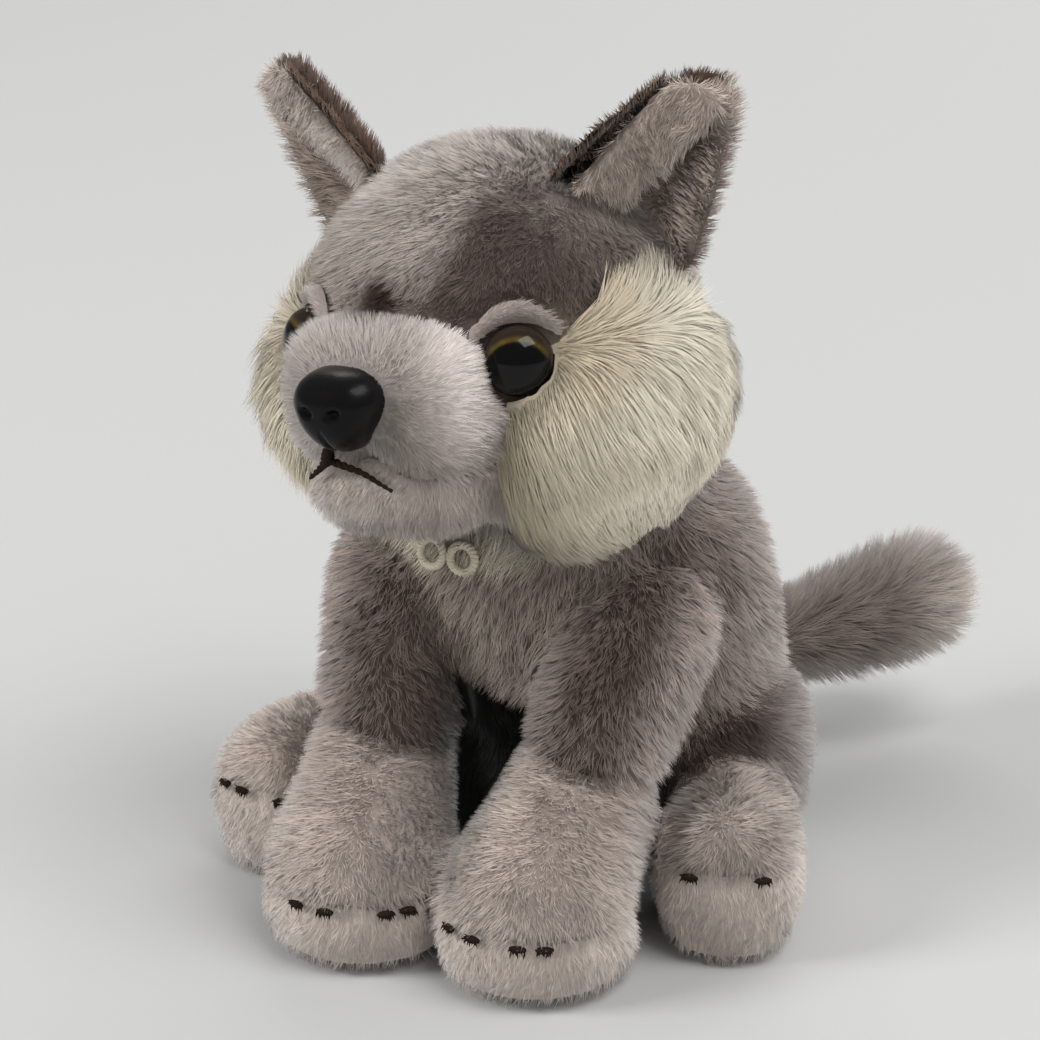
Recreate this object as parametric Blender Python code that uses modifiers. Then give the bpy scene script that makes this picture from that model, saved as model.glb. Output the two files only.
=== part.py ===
"""A sitting plush wolf: sewn and stuffed body, head, legs and tail, with moulded eyes and nose."""

import math

import bmesh
import bpy
from mathutils import Euler, Matrix, Vector
from mathutils.bvhtree import BVHTree

# Driving dimensions, in metres. The wolf faces -Y, its left side is +X, and the floor is z = 0.
SEAM_GAP = 0.0003
SIDES = (("left", 1), ("right", -1))

# Torso
SEAT_WIDTH = 0.088
SEAT_DEPTH = 0.078
SEAT_BULGE_HEIGHT = 0.022
SEAT_BACK = 0.014
CHEST_WIDTH = 0.092
CHEST_DEPTH = 0.064
CHEST_HEIGHT = 0.062
CHEST_FORWARD = 0.001
NECK_WIDTH = 0.056
NECK_HEIGHT = 0.094
SOLE_TRIM = 0.003

# Head, a ball that sits on the neck and looks a little to the wolf's right
HEAD_WIDTH = 0.079
HEAD_DEPTH = 0.077
HEAD_HEIGHT = 0.0755
HEAD_ASIDE = -0.0081
HEAD_FORWARD = 0.0062
HEAD_SINK = 0.02195
HEAD_TURN = math.radians(-11)
HEAD_TILT = math.radians(-5)

# Muzzle and chin
MUZZLE_WIDTH = 0.044
MUZZLE_HEIGHT = 0.034
MUZZLE_REACH = 0.0135
MUZZLE_RAISE = -0.0040
MUZZLE_BODY = 0.042
MUZZLE_SQUARENESS = 3.0
LIP_RISE = 0.42
CHIN_WIDTH = 0.040
CHIN_HEIGHT = 0.0215
CHIN_SETBACK = 0.003
CHIN_DROP = 0.0165

# Cheek ruffs
CHEEK_APART = 0.038
CHEEK_THICKNESS = 0.058
CHEEK_DEPTH = 0.066
CHEEK_HEIGHT = 0.061
CHEEK_FORWARD = 0.0033
CHEEK_DROP = 0.0112

# Eyes, nose and the washers that hold them
EYE_DIAMETER = 0.0138
EYE_DOME = 0.0055
EYE_SINK = 0.0015
EYE_ASIDE = math.radians(38.5)
EYE_RAISE = math.radians(1.5)
EYE_RIM = 0.0012
SHANK_DIAMETER = 0.0034
SHANK_LENGTH = 0.012
WASHER_DIAMETER = 0.011
WASHER_THICKNESS = 0.0014
NOSE_WIDTH = 0.0172
NOSE_HEIGHT = 0.0150
NOSE_DEPTH = 0.009
NOSE_RAISE = -0.0022
NOSTRIL_DIAMETER = 0.0034

# Eyelid rolls
BROW_THICKNESS = 0.0072
BROW_SPREAD = math.radians(62)

# Ears: corners on the left side of the head, and the cupped panels between them
EAR_INNER_BASE = (0.0215, -0.0045, 0.0300)
EAR_OUTER_BASE = (0.0435, 0.0020, 0.0150)
EAR_TIP = (0.0520, -0.0010, 0.0510)
EAR_TIP_WIDTH = 0.011
EAR_THICKNESS = 0.0045
EAR_CUP = 0.0065
EAR_ROOT = 0.22
LINING_THICKNESS = 0.0036
LINING_BASE = 0.34
LINING_TOP = 0.95
EDGE_THICKNESS = 0.0030
EDGE_WIDTH = 0.0050

# Front legs and paws
LEG_WIDTH = 0.030
SHOULDER_WIDTH = 0.036
SHOULDER_HEIGHT = 0.062
SHOULDER_APART = 0.0485
SHOULDER_FORWARD = 0.013
WRIST_HEIGHT = 0.036
WRIST_FORWARD = 0.032
WRIST_APART = 0.0415
PAW_WIDTH = 0.042
PAW_LENGTH = 0.042
PAW_HEIGHT = 0.014
PAW_APART = 0.0350
PAW_FORWARD = 0.0515
CUFF_TILT = math.radians(12)
SOLE_SEAM = 0.0137

# Hind legs and feet
THIGH_WIDTH = 0.040
THIGH_DEPTH = 0.052
THIGH_HEIGHT = 0.052
THIGH_APART = 0.063
THIGH_BACK = 0.006
FOOT_WIDTH = 0.031
FOOT_HEIGHT = 0.0375
FOOT_LENGTH = 0.046
FOOT_APART = 0.084
FOOT_FORWARD = 0.0115
FOOT_SPLAY = math.radians(17)
FOOT_SOLE_SEAM = 0.0185

# Tail
TAIL_ROOT_WIDTH = 0.018
TAIL_BRUSH_WIDTH = 0.024
TAIL_LENGTH = 0.078
TAIL_HEIGHT = 0.024
TAIL_SWING = math.radians(46)
TAIL_RISE = 0.009

# Thread: claws, mouth and the two hang loops
CLAW_LENGTH = 0.0036
CLAW_WIDTH = 0.0024
FRONT_CLAWS = {"left": (-33, -13, 16, 31), "right": (-36, -16, 20, 33)}
HIND_CLAWS = {"left": (-14, 14), "right": (-11, -1, 19)}
PAW_TURN = {"left": math.radians(-3), "right": math.radians(18)}
MOUTH_WIDTH = 0.020
MOUTH_DROP = 0.0125
MOUTH_SAG = 0.0035
THREAD_WIDTH = 0.0014
LOOP_DIAMETER = 0.0052
LOOP_CORD = 0.0016
LOOP_SPACING = 0.0066
LOOP_PLACE = (-0.0090, 0.0712)

# Colours, as linear red, green and blue
GREY_BROWN = (0.170, 0.137, 0.127)
CROWN_GREY = (0.250, 0.210, 0.195)
PINK_GREY = (0.400, 0.330, 0.305)
CREAM = (0.640, 0.560, 0.430)
MAUVE_GREY = (0.330, 0.270, 0.265)
DARK_BROWN = (0.045, 0.028, 0.020)
BLACK = (0.008, 0.008, 0.009)
WHITE_CORD = (0.720, 0.680, 0.600)
NYLON = (0.550, 0.550, 0.530)


# Scene and materials


def clear_scene():
    for old in list(bpy.data.objects):
        bpy.data.objects.remove(old, do_unlink=True)


def new_collection(name):
    collection = bpy.data.collections.new(name)
    bpy.context.scene.collection.children.link(collection)
    return collection


def finish_of(name, colour, roughness, metallic=0.0):
    material = bpy.data.materials.new(name)
    material.use_nodes = True
    shader = material.node_tree.nodes["Principled BSDF"]
    shader.inputs["Base Color"].default_value = (*colour, 1.0)
    shader.inputs["Roughness"].default_value = roughness
    shader.inputs["Metallic"].default_value = metallic
    material.diffuse_color = (*colour, 1.0)
    return material


def add_mesh(name, bm, collection, finish, parent=None):
    bmesh.ops.recalc_face_normals(bm, faces=bm.faces)
    mesh = bpy.data.meshes.new(name)
    bm.to_mesh(mesh)
    bm.free()
    mesh.shade_smooth()
    if finish:
        mesh.materials.append(finish)
    obj = bpy.data.objects.new(name, mesh)
    obj.parent = parent
    collection.objects.link(obj)
    return obj


def add_subdivision(obj, levels=1):
    modifier = obj.modifiers.new("soft", "SUBSURF")
    modifier.levels = levels
    modifier.render_levels = levels


def add_cutter(name, bm, parent=None):
    cutter = add_mesh(name, bm, cutters, None, parent)
    cutter.hide_render = True
    cutter.display_type = "WIRE"
    return cutter


def grown(obj, gap=SEAM_GAP):
    """A copy of a form that stands the seam gap proud of it, to cut its neighbours with."""
    cutter = obj.copy()
    cutter.name = "cutter_" + obj.name
    cutters.objects.link(cutter)
    swell = cutter.modifiers.new("gap", "DISPLACE")
    swell.strength = gap
    swell.mid_level = 0.0
    cutter.hide_render = True
    cutter.display_type = "WIRE"
    return cutter


def cut(obj, *tools):
    for tool in tools:
        modifier = obj.modifiers.new("cut_" + tool.name, "BOOLEAN")
        modifier.operation = "DIFFERENCE"
        modifier.object = tool


def box_cutter(name, low, high, parent=None):
    bm = bmesh.new()
    bmesh.ops.create_cube(bm, size=1.0)
    low, high = Vector(low), Vector(high)
    for vertex in bm.verts:
        vertex.co = Vector((low + high) / 2) + Vector(a * b for a, b in zip(vertex.co, high - low))
    return add_cutter(name, bm, parent)


# Soft forms


def ball(name, centre, size, collection, finish, parent=None, segments=24, rings=14, shape=None):
    """A stuffed ball: a sphere whose points pass through a shaping rule before it is sized."""
    bm = bmesh.new()
    bmesh.ops.create_uvsphere(bm, u_segments=segments, v_segments=rings, radius=1.0)
    for vertex in bm.verts:
        point = shape(vertex.co.copy()) if shape else vertex.co
        vertex.co = Vector(centre) + Vector(a * b / 2 for a, b in zip(point, size))
    return add_mesh(name, bm, collection, finish, parent)


def squared(power):
    """A rule that pushes a sphere towards a box; 2 leaves it round."""

    def shape(point):
        total = sum(abs(part) ** power for part in point)
        return point / total ** (1 / power)

    return shape


def loft(name, stations, side, finish, parent=None, count=10):
    """A soft tube through stations of (centre, width, depth), its rings square to its path."""
    centres = [Vector(centre) for centre, _, _ in stations]
    true_size = 3 / (2 + math.cos(2 * math.pi / count))
    bm = bmesh.new()
    rings = []
    for index, (_, width, depth) in enumerate(stations):
        along = centres[min(index + 1, len(centres) - 1)] - centres[max(index - 1, 0)]
        along.normalize()
        across = (Vector(side) - along * along.dot(Vector(side))).normalized()
        outward = along.cross(across)
        ring = []
        for step in range(count):
            angle = 2 * math.pi * step / count
            offset = across * (math.cos(angle) * width / 2) + outward * (math.sin(angle) * depth / 2)
            ring.append(bm.verts.new(centres[index] + offset * true_size))
        rings.append(ring)
    for lower, upper in zip(rings, rings[1:]):
        for step in range(count):
            after = (step + 1) % count
            bm.faces.new((lower[step], lower[after], upper[after], upper[step]))
    bm.faces.new(rings[0])
    bm.faces.new(rings[-1])
    obj = add_mesh(name, bm, parts, finish, parent)
    add_subdivision(obj)
    return obj


# Torso


def make_torso():
    seat = Vector((0, SEAT_BACK, 0))
    chest = Vector((0, -CHEST_FORWARD, 0))
    middle_width = (SEAT_WIDTH + CHEST_WIDTH) / 2
    middle_depth = (SEAT_DEPTH + CHEST_DEPTH) / 2
    middle_height = (SEAT_BULGE_HEIGHT + CHEST_HEIGHT) / 2
    up = Vector((0, 0, 1))
    stations = [
        (seat - up * SOLE_TRIM, SEAT_WIDTH * 0.62, SEAT_DEPTH * 0.62),
        (seat + up * SEAT_BULGE_HEIGHT * 0.2, SEAT_WIDTH * 0.90, SEAT_DEPTH * 0.90),
        (seat + up * SEAT_BULGE_HEIGHT, SEAT_WIDTH, SEAT_DEPTH),
        (seat.lerp(chest, 0.4) + up * middle_height, middle_width, middle_depth),
        (chest + up * CHEST_HEIGHT, CHEST_WIDTH, CHEST_DEPTH),
        (chest + up * (CHEST_HEIGHT * 0.45 + NECK_HEIGHT * 0.55), CHEST_WIDTH * 0.90, CHEST_DEPTH * 0.94),
        (chest + up * NECK_HEIGHT * 0.96, NECK_WIDTH, NECK_WIDTH * 0.78),
        (chest + up * NECK_HEIGHT, NECK_WIDTH * 0.60, NECK_WIDTH * 0.45),
    ]
    return loft("torso", stations, (1, 0, 0), fur_body, count=12)


# Head


def head_centre():
    return Vector((HEAD_ASIDE, -HEAD_FORWARD, NECK_HEIGHT + HEAD_HEIGHT / 2 - HEAD_SINK))


def make_head_frame():
    frame = bpy.data.objects.new("head_frame", None)
    frame.location = head_centre()
    turn = Euler((0, 0, HEAD_TURN)).to_matrix() @ Euler((0, HEAD_TILT, 0)).to_matrix()
    frame.rotation_euler = turn.to_euler()
    parts.objects.link(frame)
    return frame


def on_skull(aside, raised, out=0.0):
    """The point of the head at these angles, and the way out of the head there."""
    flat = math.cos(raised)
    way = Vector((math.sin(aside) * flat, -math.cos(aside) * flat, math.sin(raised)))
    half = Vector((HEAD_WIDTH, HEAD_DEPTH, HEAD_HEIGHT)) / 2
    reach = 1 / math.sqrt(sum((a / b) ** 2 for a, b in zip(way, half)))
    point = way * reach
    normal = Vector(a / (b * b) for a, b in zip(point, half)).normalized()
    return point + normal * out, normal


def crown_shape(point):
    """Round above, and drawn in below the eyes, where the cheeks are sewn over it."""
    drawn_in = 1 - 0.10 * min(1.0, max(0.0, 0.15 - point.z) / 0.5)
    return Vector((point.x * drawn_in, point.y * drawn_in, point.z))


def make_head():
    size = (HEAD_WIDTH, HEAD_DEPTH, HEAD_HEIGHT)
    return ball("head", (0, 0, 0), size, parts, fur_crown, head_frame, 24, 14, crown_shape)


def muzzle_front():
    return HEAD_DEPTH / 2 + MUZZLE_REACH


def muzzle_shape(point):
    """A round-cornered box whose lower edge hangs as a jowl at each side of the lip."""
    point = squared(MUZZLE_SQUARENESS)(point)
    if point.z < 0:
        point.z *= 1 - LIP_RISE * (1 - min(1.0, abs(point.x) * 1.2)) ** 2
    return point


def make_muzzle():
    size = (MUZZLE_WIDTH, MUZZLE_BODY, MUZZLE_HEIGHT)
    centre = (0, MUZZLE_BODY / 2 - muzzle_front(), MUZZLE_RAISE)
    return ball("muzzle", centre, size, parts, fur_muzzle, head_frame, 20, 12, muzzle_shape)


def make_chin():
    size = (CHIN_WIDTH, MUZZLE_BODY, CHIN_HEIGHT)
    centre = (0, MUZZLE_BODY / 2 - muzzle_front() + CHIN_SETBACK, MUZZLE_RAISE - CHIN_DROP)
    return ball("chin", centre, size, parts, fur_muzzle, head_frame, 16, 10, squared(MUZZLE_SQUARENESS))


def make_cheek(side, sign):
    size = (CHEEK_THICKNESS, CHEEK_DEPTH, CHEEK_HEIGHT)
    centre = (sign * CHEEK_APART / 2, -CHEEK_FORWARD, -CHEEK_DROP)
    return ball("cheek_" + side, centre, size, parts, fur_cheek, head_frame, 22, 12)


def cheek_half_cutter(side, sign):
    """Takes off what a cheek has past the seam down the middle of the throat."""
    reach = HEAD_WIDTH + CHEEK_THICKNESS
    edge = sign * SEAM_GAP / 2
    low = (min(edge, -sign * reach), -reach, -reach)
    high = (max(edge, -sign * reach), reach, reach)
    return box_cutter("cutter_throat_" + side, low, high, head_frame)


# Eyes, nose and washers


def turned(name, profile, collection, finish, place, steps=18):
    """A turned piece: a profile of (radius, height) that runs down its outer side."""
    bm = bmesh.new()
    points = [bm.verts.new((radius, 0, height)) for radius, height in profile]
    for upper, lower in zip(points, points[1:]):
        bm.edges.new((upper, lower))
    mesh = bpy.data.meshes.new(name)
    bm.to_mesh(mesh)
    bm.free()
    if finish:
        mesh.materials.append(finish)
    obj = bpy.data.objects.new(name, mesh)
    obj.parent = head_frame
    obj.matrix_local = place
    collection.objects.link(obj)
    screw = obj.modifiers.new("turn", "SCREW")
    screw.steps = steps
    screw.render_steps = steps
    screw.use_merge_vertices = True
    screw.merge_threshold = 0.00001
    screw.use_smooth_shade = True
    return obj


def dome_profile(radius, height, count=5):
    quarter = math.pi / 2
    return [(radius * math.sin(quarter * step / count), height * math.cos(quarter * step / count))
            for step in range(count + 1)]


def eye_profile(clear=0.0):
    shank = SHANK_DIAMETER / 2 + clear
    rim = EYE_DIAMETER / 2 + clear
    return [
        *dome_profile(rim, EYE_DOME + clear),
        (rim, -EYE_RIM - clear),
        (shank, -EYE_RIM - clear),
        (shank, -EYE_RIM - SHANK_LENGTH - clear),
        (0, -EYE_RIM - SHANK_LENGTH - clear),
    ]


def washer_top():
    return -EYE_RIM - SHANK_LENGTH * 0.55


def washer_profile(outer, inner, top, thickness):
    return [(inner, top), (outer, top), (outer, top - thickness), (inner, top - thickness), (inner, top)]


def pocket_profile():
    radius = WASHER_DIAMETER / 2 + SEAM_GAP
    top = washer_top() + SEAM_GAP
    return [(0, top), (radius, top), (radius, top - WASHER_THICKNESS - 2 * SEAM_GAP),
            (0, top - WASHER_THICKNESS - 2 * SEAM_GAP)]


def facing(point, way):
    """A place whose +Z looks out of the head."""
    return Matrix.Translation(point) @ way.to_track_quat("Z", "Y").to_matrix().to_4x4()


def make_eye(side, sign):
    point, way = on_skull(sign * EYE_ASIDE, EYE_RAISE, -EYE_SINK)
    place = facing(point, way)
    eye = turned("eye_" + side, eye_profile(), parts, gloss_black, place)
    inner = SHANK_DIAMETER / 2 + SEAM_GAP
    ring = washer_profile(WASHER_DIAMETER / 2, inner, washer_top(), WASHER_THICKNESS)
    turned("eye_washer_" + side, ring, parts, nylon, place)
    socket = turned("cutter_eye_" + side, eye_profile(SEAM_GAP), cutters, None, place)
    pocket = turned("cutter_eye_washer_" + side, pocket_profile(), cutters, None, place)
    for tool in (socket, pocket):
        tool.hide_render = True
        tool.display_type = "WIRE"
    return eye, socket, pocket


def nose_shape(point):
    """Rounded triangle: broad and full above, drawn in below."""
    point = squared(2.5)(point)
    taper = 1 - 0.34 * max(0.0, -point.z) ** 1.4
    return Vector((point.x * taper, point.y, point.z))


def make_nose():
    front = muzzle_front()
    centre = Vector((0, -front - NOSE_DEPTH * 0.18, NOSE_RAISE))
    size = (NOSE_WIDTH, NOSE_DEPTH, NOSE_HEIGHT)
    nose = ball("nose", centre, size, parts, gloss_black, head_frame, 18, 10, nose_shape)
    grown_size = [length + 2 * SEAM_GAP for length in size]
    seat = ball("cutter_nose", centre, grown_size, cutters, None, head_frame, 18, 10, nose_shape)
    seat.hide_render = True
    seat.display_type = "WIRE"
    for side, sign in SIDES:
        place = centre + Vector((sign * NOSE_WIDTH * 0.27, -NOSE_DEPTH * 0.46, -NOSE_HEIGHT * 0.06))
        size = (NOSTRIL_DIAMETER, NOSTRIL_DIAMETER, NOSTRIL_DIAMETER * 0.7)
        nostril = ball("cutter_nostril_" + side, place, size, cutters, None, head_frame, 8, 6)
        nostril.hide_render = True
        nostril.display_type = "WIRE"
        cut(nose, nostril)
    back = centre.y + NOSE_DEPTH * 0.3
    place = facing(Vector((0, back, NOSE_RAISE)), Vector((0, -1, 0)))
    shank = SHANK_DIAMETER / 2
    stem = turned("cutter_nose_shank", [(0, 0), (shank, 0), (shank, -SHANK_LENGTH), (0, -SHANK_LENGTH)],
                  cutters, None, place)
    bore = turned("cutter_nose_bore", [(0, 0), (shank + SEAM_GAP, 0),
                                       (shank + SEAM_GAP, -SHANK_LENGTH - SEAM_GAP),
                                       (0, -SHANK_LENGTH - SEAM_GAP)], cutters, None, place)
    pocket = turned("cutter_nose_washer", pocket_profile(), cutters, None, place)
    ring = washer_profile(WASHER_DIAMETER / 2, shank + SEAM_GAP, washer_top(), WASHER_THICKNESS)
    turned("nose_washer", ring, parts, nylon, place)
    for tool in (stem, bore, pocket):
        tool.hide_render = True
        tool.display_type = "WIRE"
    join = nose.modifiers.new("shank", "BOOLEAN")
    join.operation = "UNION"
    join.object = stem
    return nose, seat, bore, pocket


def make_brow(side, sign):
    """A padded roll that curls over the top of the eye."""
    point, way = on_skull(sign * EYE_ASIDE, EYE_RAISE)
    level = Vector((0, 0, 1)).cross(way).normalized() * sign
    rise = way.cross(level) * sign
    radius = EYE_DIAMETER / 2 + BROW_THICKNESS * 0.42
    stations = []
    for share, fullness in ((-1, 0.35), (-0.8, 0.80), (-0.3, 1.0), (0.3, 1.0), (0.8, 0.80), (1, 0.35)):
        angle = math.pi / 2 - share * BROW_SPREAD
        centre = point + level * (math.cos(angle) * radius) + rise * (math.sin(angle) * radius)
        centre -= way * BROW_THICKNESS * (0.06 + 0.15 * abs(share))
        stations.append((centre, BROW_THICKNESS * fullness, BROW_THICKNESS * fullness * 0.8))
    return loft("brow_" + side, stations, way, fur_brow, head_frame, count=8)


# Ears


def ear_point(sign, share, height, lift):
    """A point of the ear: share 0 to 1 from inner to outer edge, height 0 to 1 from base to tip."""
    inner, outer, tip = Vector(EAR_INNER_BASE), Vector(EAR_OUTER_BASE), Vector(EAR_TIP)
    across = (outer - inner).normalized()
    up = (tip - (inner + outer) / 2).normalized()
    back = up.cross(across).normalized()
    if back.y < 0:
        back = -back
    inner_edge = inner.lerp(tip - across * EAR_TIP_WIDTH / 2, height)
    outer_edge = outer.lerp(tip + across * EAR_TIP_WIDTH / 2, height)
    belly = math.sin(math.pi * min(max(height, 0), 1)) * 0.06
    point = inner_edge.lerp(outer_edge, 0.5 + (share - 0.5) * (1 + belly))
    cup = EAR_CUP * (1 - (2 * share - 1) ** 2) * (1 - 0.55 * height)
    point += back * (cup - lift)
    return Vector((sign * point.x, point.y, point.z))


def ear_panel(name, sign, shares, heights, lift, thickness, columns, rows, finish):
    bm = bmesh.new()
    bmesh.ops.create_grid(bm, x_segments=columns, y_segments=rows, size=1.0)
    for vertex in bm.verts:
        height = heights[0] + (heights[1] - heights[0]) * (vertex.co.y + 1) / 2
        outer_share = shares[1] + (shares[2] - shares[1]) * max(0.0, height)
        share = shares[0] + (outer_share - shares[0]) * (vertex.co.x + 1) / 2
        round_off = max(0.0, (height - 0.8) / 0.2) ** 2 * 0.10 * abs(2 * share - 1)
        vertex.co = ear_point(sign, share, height - round_off, lift)
    obj = add_mesh(name, bm, parts, finish, head_frame)
    solidify = obj.modifiers.new("thickness", "SOLIDIFY")
    solidify.thickness = thickness
    solidify.offset = 0
    add_subdivision(obj)
    return obj


def make_ear(side, sign):
    shell = ear_panel("ear_back_" + side, sign, (0, 1, 1), (-EAR_ROOT, 1), 0, EAR_THICKNESS, 4, 3, fur_body)
    lift = (EAR_THICKNESS + LINING_THICKNESS) / 2 + SEAM_GAP
    lining = ear_panel("ear_lining_" + side, sign, (0.02, LINING_BASE, LINING_TOP), (-EAR_ROOT, 0.97), lift,
                       LINING_THICKNESS, 3, 3, fur_lining)
    share = EDGE_WIDTH / (Vector(EAR_OUTER_BASE) - Vector(EAR_INNER_BASE)).length
    edge = ear_panel("ear_edge_" + side, sign, (-share, 0.02, 0.02), (-EAR_ROOT, 0.98),
                     EAR_THICKNESS * 0.3, EDGE_THICKNESS, 1, 4, fur_dark)
    return shell, lining, edge


# Front legs


def make_front_leg(side, sign):
    wrist = Vector((sign * WRIST_APART / 2, -WRIST_FORWARD, WRIST_HEIGHT))
    shoulder = Vector((sign * SHOULDER_APART / 2, -SHOULDER_FORWARD, SHOULDER_HEIGHT))
    down = (wrist - shoulder).normalized()
    stations = [
        (shoulder - down * SHOULDER_WIDTH * 0.42, SHOULDER_WIDTH * 0.45, SHOULDER_WIDTH * 0.40),
        (shoulder - down * SHOULDER_WIDTH * 0.28, SHOULDER_WIDTH * 0.82, SHOULDER_WIDTH * 0.78),
        (shoulder, SHOULDER_WIDTH, SHOULDER_WIDTH),
        (shoulder.lerp(wrist, 0.6), (SHOULDER_WIDTH + LEG_WIDTH) / 2, (SHOULDER_WIDTH + LEG_WIDTH) / 2),
        (wrist, LEG_WIDTH, LEG_WIDTH),
        (wrist + down * LEG_WIDTH * 0.5, LEG_WIDTH, LEG_WIDTH),
    ]
    leg = loft("front_leg_" + side, stations, (1, 0, 0), fur_body)
    return leg, wrist


def paw_place(sign):
    return Vector((sign * PAW_APART / 2, -PAW_FORWARD, 0))


def make_front_paw(side, sign, wrist):
    place = paw_place(sign)
    shoulder_way = Vector((wrist.x, -SHOULDER_FORWARD, SHOULDER_HEIGHT)) - wrist
    up = Vector((0, 0, 1))
    ankle = place.lerp(Vector((wrist.x, wrist.y, 0)), 0.55) + up * (PAW_HEIGHT + WRIST_HEIGHT) * 0.5
    stations = [
        (wrist + shoulder_way * 0.3, LEG_WIDTH, LEG_WIDTH),
        (wrist, LEG_WIDTH, LEG_WIDTH),
        (ankle, LEG_WIDTH * 1.06, LEG_WIDTH * 1.08),
        (place + up * PAW_HEIGHT * 1.25, PAW_WIDTH * 0.96, PAW_LENGTH * 0.95),
        (place + up * PAW_HEIGHT * 0.55, PAW_WIDTH, PAW_LENGTH),
        (place + up * PAW_HEIGHT * 0.10, PAW_WIDTH * 0.82, PAW_LENGTH * 0.82),
        (place - up * SOLE_TRIM, PAW_WIDTH * 0.50, PAW_LENGTH * 0.50),
    ]
    return loft("front_paw_" + side, stations, (1, 0, 0), fur_paw)


def seam_cutters(name, place, tilt):
    """Two blocks that share the seam gap and part what is above a seam from what is below it."""
    reach = SHOULDER_WIDTH * 2
    edge = SEAM_GAP / 2
    above = box_cutter(f"cutter_above_{name}", (-reach, -reach, -edge), (reach, reach, reach))
    below = box_cutter(f"cutter_below_{name}", (-reach, -reach, -reach), (reach, reach, edge))
    for block in (above, below):
        block.location = place
        block.rotation_euler = tilt
    return above, below


def split_sole(top, name, seam_height):
    """Parts a foot at the seam between its upper and its sole panel, and returns the sole."""
    above, below = seam_cutters(name, (0, 0, seam_height), (0, 0, 0))
    sole = top.copy()
    sole.name = name
    parts.objects.link(sole)
    cut(top, below)
    cut(sole, above)
    return sole


# Hind legs


def make_thigh(side, sign):
    centre = (sign * THIGH_APART / 2, THIGH_BACK, THIGH_HEIGHT / 2 - SOLE_TRIM)
    size = (THIGH_WIDTH, THIGH_DEPTH, THIGH_HEIGHT)
    return ball("thigh_" + side, centre, size, parts, fur_body, None, 18, 10, squared(2.2))


def foot_place(sign):
    return Vector((sign * FOOT_APART / 2, -FOOT_FORWARD, 0))


def foot_way(sign):
    return Vector((sign * math.sin(FOOT_SPLAY), -math.cos(FOOT_SPLAY), 0))


def make_hind_foot(side, sign):
    """A foot that lies along the floor and points its toe forward and a little outward."""
    heel = foot_place(sign)
    toe_way = foot_way(sign)
    up = Vector((0, 0, 1))
    stations = []
    for along, share, middle in ((-0.45, 0.60, 0.50), (-0.25, 0.86, 0.48), (0.05, 0.96, 0.47),
                                 (0.35, 1.0, 0.46), (0.56, 0.86, 0.45), (0.63, 0.50, 0.45)):
        centre = heel + toe_way * FOOT_LENGTH * along + up * (FOOT_HEIGHT * middle - SOLE_TRIM)
        stations.append((centre, FOOT_WIDTH * share, FOOT_HEIGHT * share))
    return loft("hind_foot_" + side, stations, (1, 0, 0), fur_paw)


# Tail


def make_tail():
    way = Vector((math.sin(TAIL_SWING), math.cos(TAIL_SWING), 0))
    root = Vector((0, SEAT_BACK + SEAT_DEPTH * 0.34, TAIL_HEIGHT))
    up = Vector((0, 0, 1))
    stations = []
    for along, share in ((0, 0), (0.2, 0.05), (0.42, 0.25), (0.62, 0.6), (0.8, 1.0), (0.93, 0.88), (1.0, 0.5)):
        width = TAIL_ROOT_WIDTH + (TAIL_BRUSH_WIDTH - TAIL_ROOT_WIDTH) * share
        if along == 1.0:
            width = TAIL_BRUSH_WIDTH * share
        bow = up * TAIL_RISE * along ** 2 + Vector((way.y, -way.x, 0)) * math.sin(math.pi * along) * 0.004
        stations.append((root + way * TAIL_LENGTH * along + bow, width, width))
    return loft("tail", stations, (0, 0, 1), fur_body, count=8)


# Thread


def surface_of(obj):
    """A tree of the object's evaluated surface, in world space."""
    graph = bpy.context.evaluated_depsgraph_get()
    evaluated = obj.evaluated_get(graph)
    mesh = evaluated.to_mesh()
    points = [evaluated.matrix_world @ vertex.co for vertex in mesh.vertices]
    tree = BVHTree.FromPolygons(points, [tuple(face.vertices) for face in mesh.polygons])
    evaluated.to_mesh_clear()
    return tree


def laid(trees, start, way, lift):
    """Where a ray first meets these surfaces, lifted off along the surface's own normal."""
    hits = [tree.ray_cast(start, way) for tree in trees]
    hits = [hit for hit in hits if hit[0] is not None]
    nearest = min(hits, key=lambda hit: hit[3])
    normal = nearest[1] if nearest[1].dot(way) < 0 else -nearest[1]
    return nearest[0] + normal * lift


def thread(name, points, width, finish, taper=0.55, closed=False):
    curve = bpy.data.curves.new(name, "CURVE")
    curve.dimensions = "3D"
    curve.bevel_depth = width / 2
    curve.bevel_resolution = 1
    curve.use_fill_caps = True
    spline = curve.splines.new("POLY")
    spline.points.add(len(points) - 1)
    for index, point in enumerate(points):
        spline.points[index].co = (*point, 1)
        at_end = not closed and index in (0, len(points) - 1)
        spline.points[index].radius = taper if at_end else 1.0
    spline.use_cyclic_u = closed
    curve.materials.append(finish)
    obj = bpy.data.objects.new(name, curve)
    parts.objects.link(obj)
    return obj


def as_mesh(obj):
    """The same piece as a mesh with its caps welded, so that it can cut its neighbours."""
    graph = bpy.context.evaluated_depsgraph_get()
    mesh = bpy.data.meshes.new_from_object(obj.evaluated_get(graph))
    bm = bmesh.new()
    bm.from_mesh(mesh)
    bmesh.ops.remove_doubles(bm, verts=bm.verts, dist=0.000001)
    bm.to_mesh(mesh)
    bm.free()
    name = obj.name
    place = obj.matrix_world.copy()
    bpy.data.objects.remove(obj, do_unlink=True)
    piece = bpy.data.objects.new(name, mesh)
    piece.matrix_world = place
    parts.objects.link(piece)
    return piece


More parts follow.
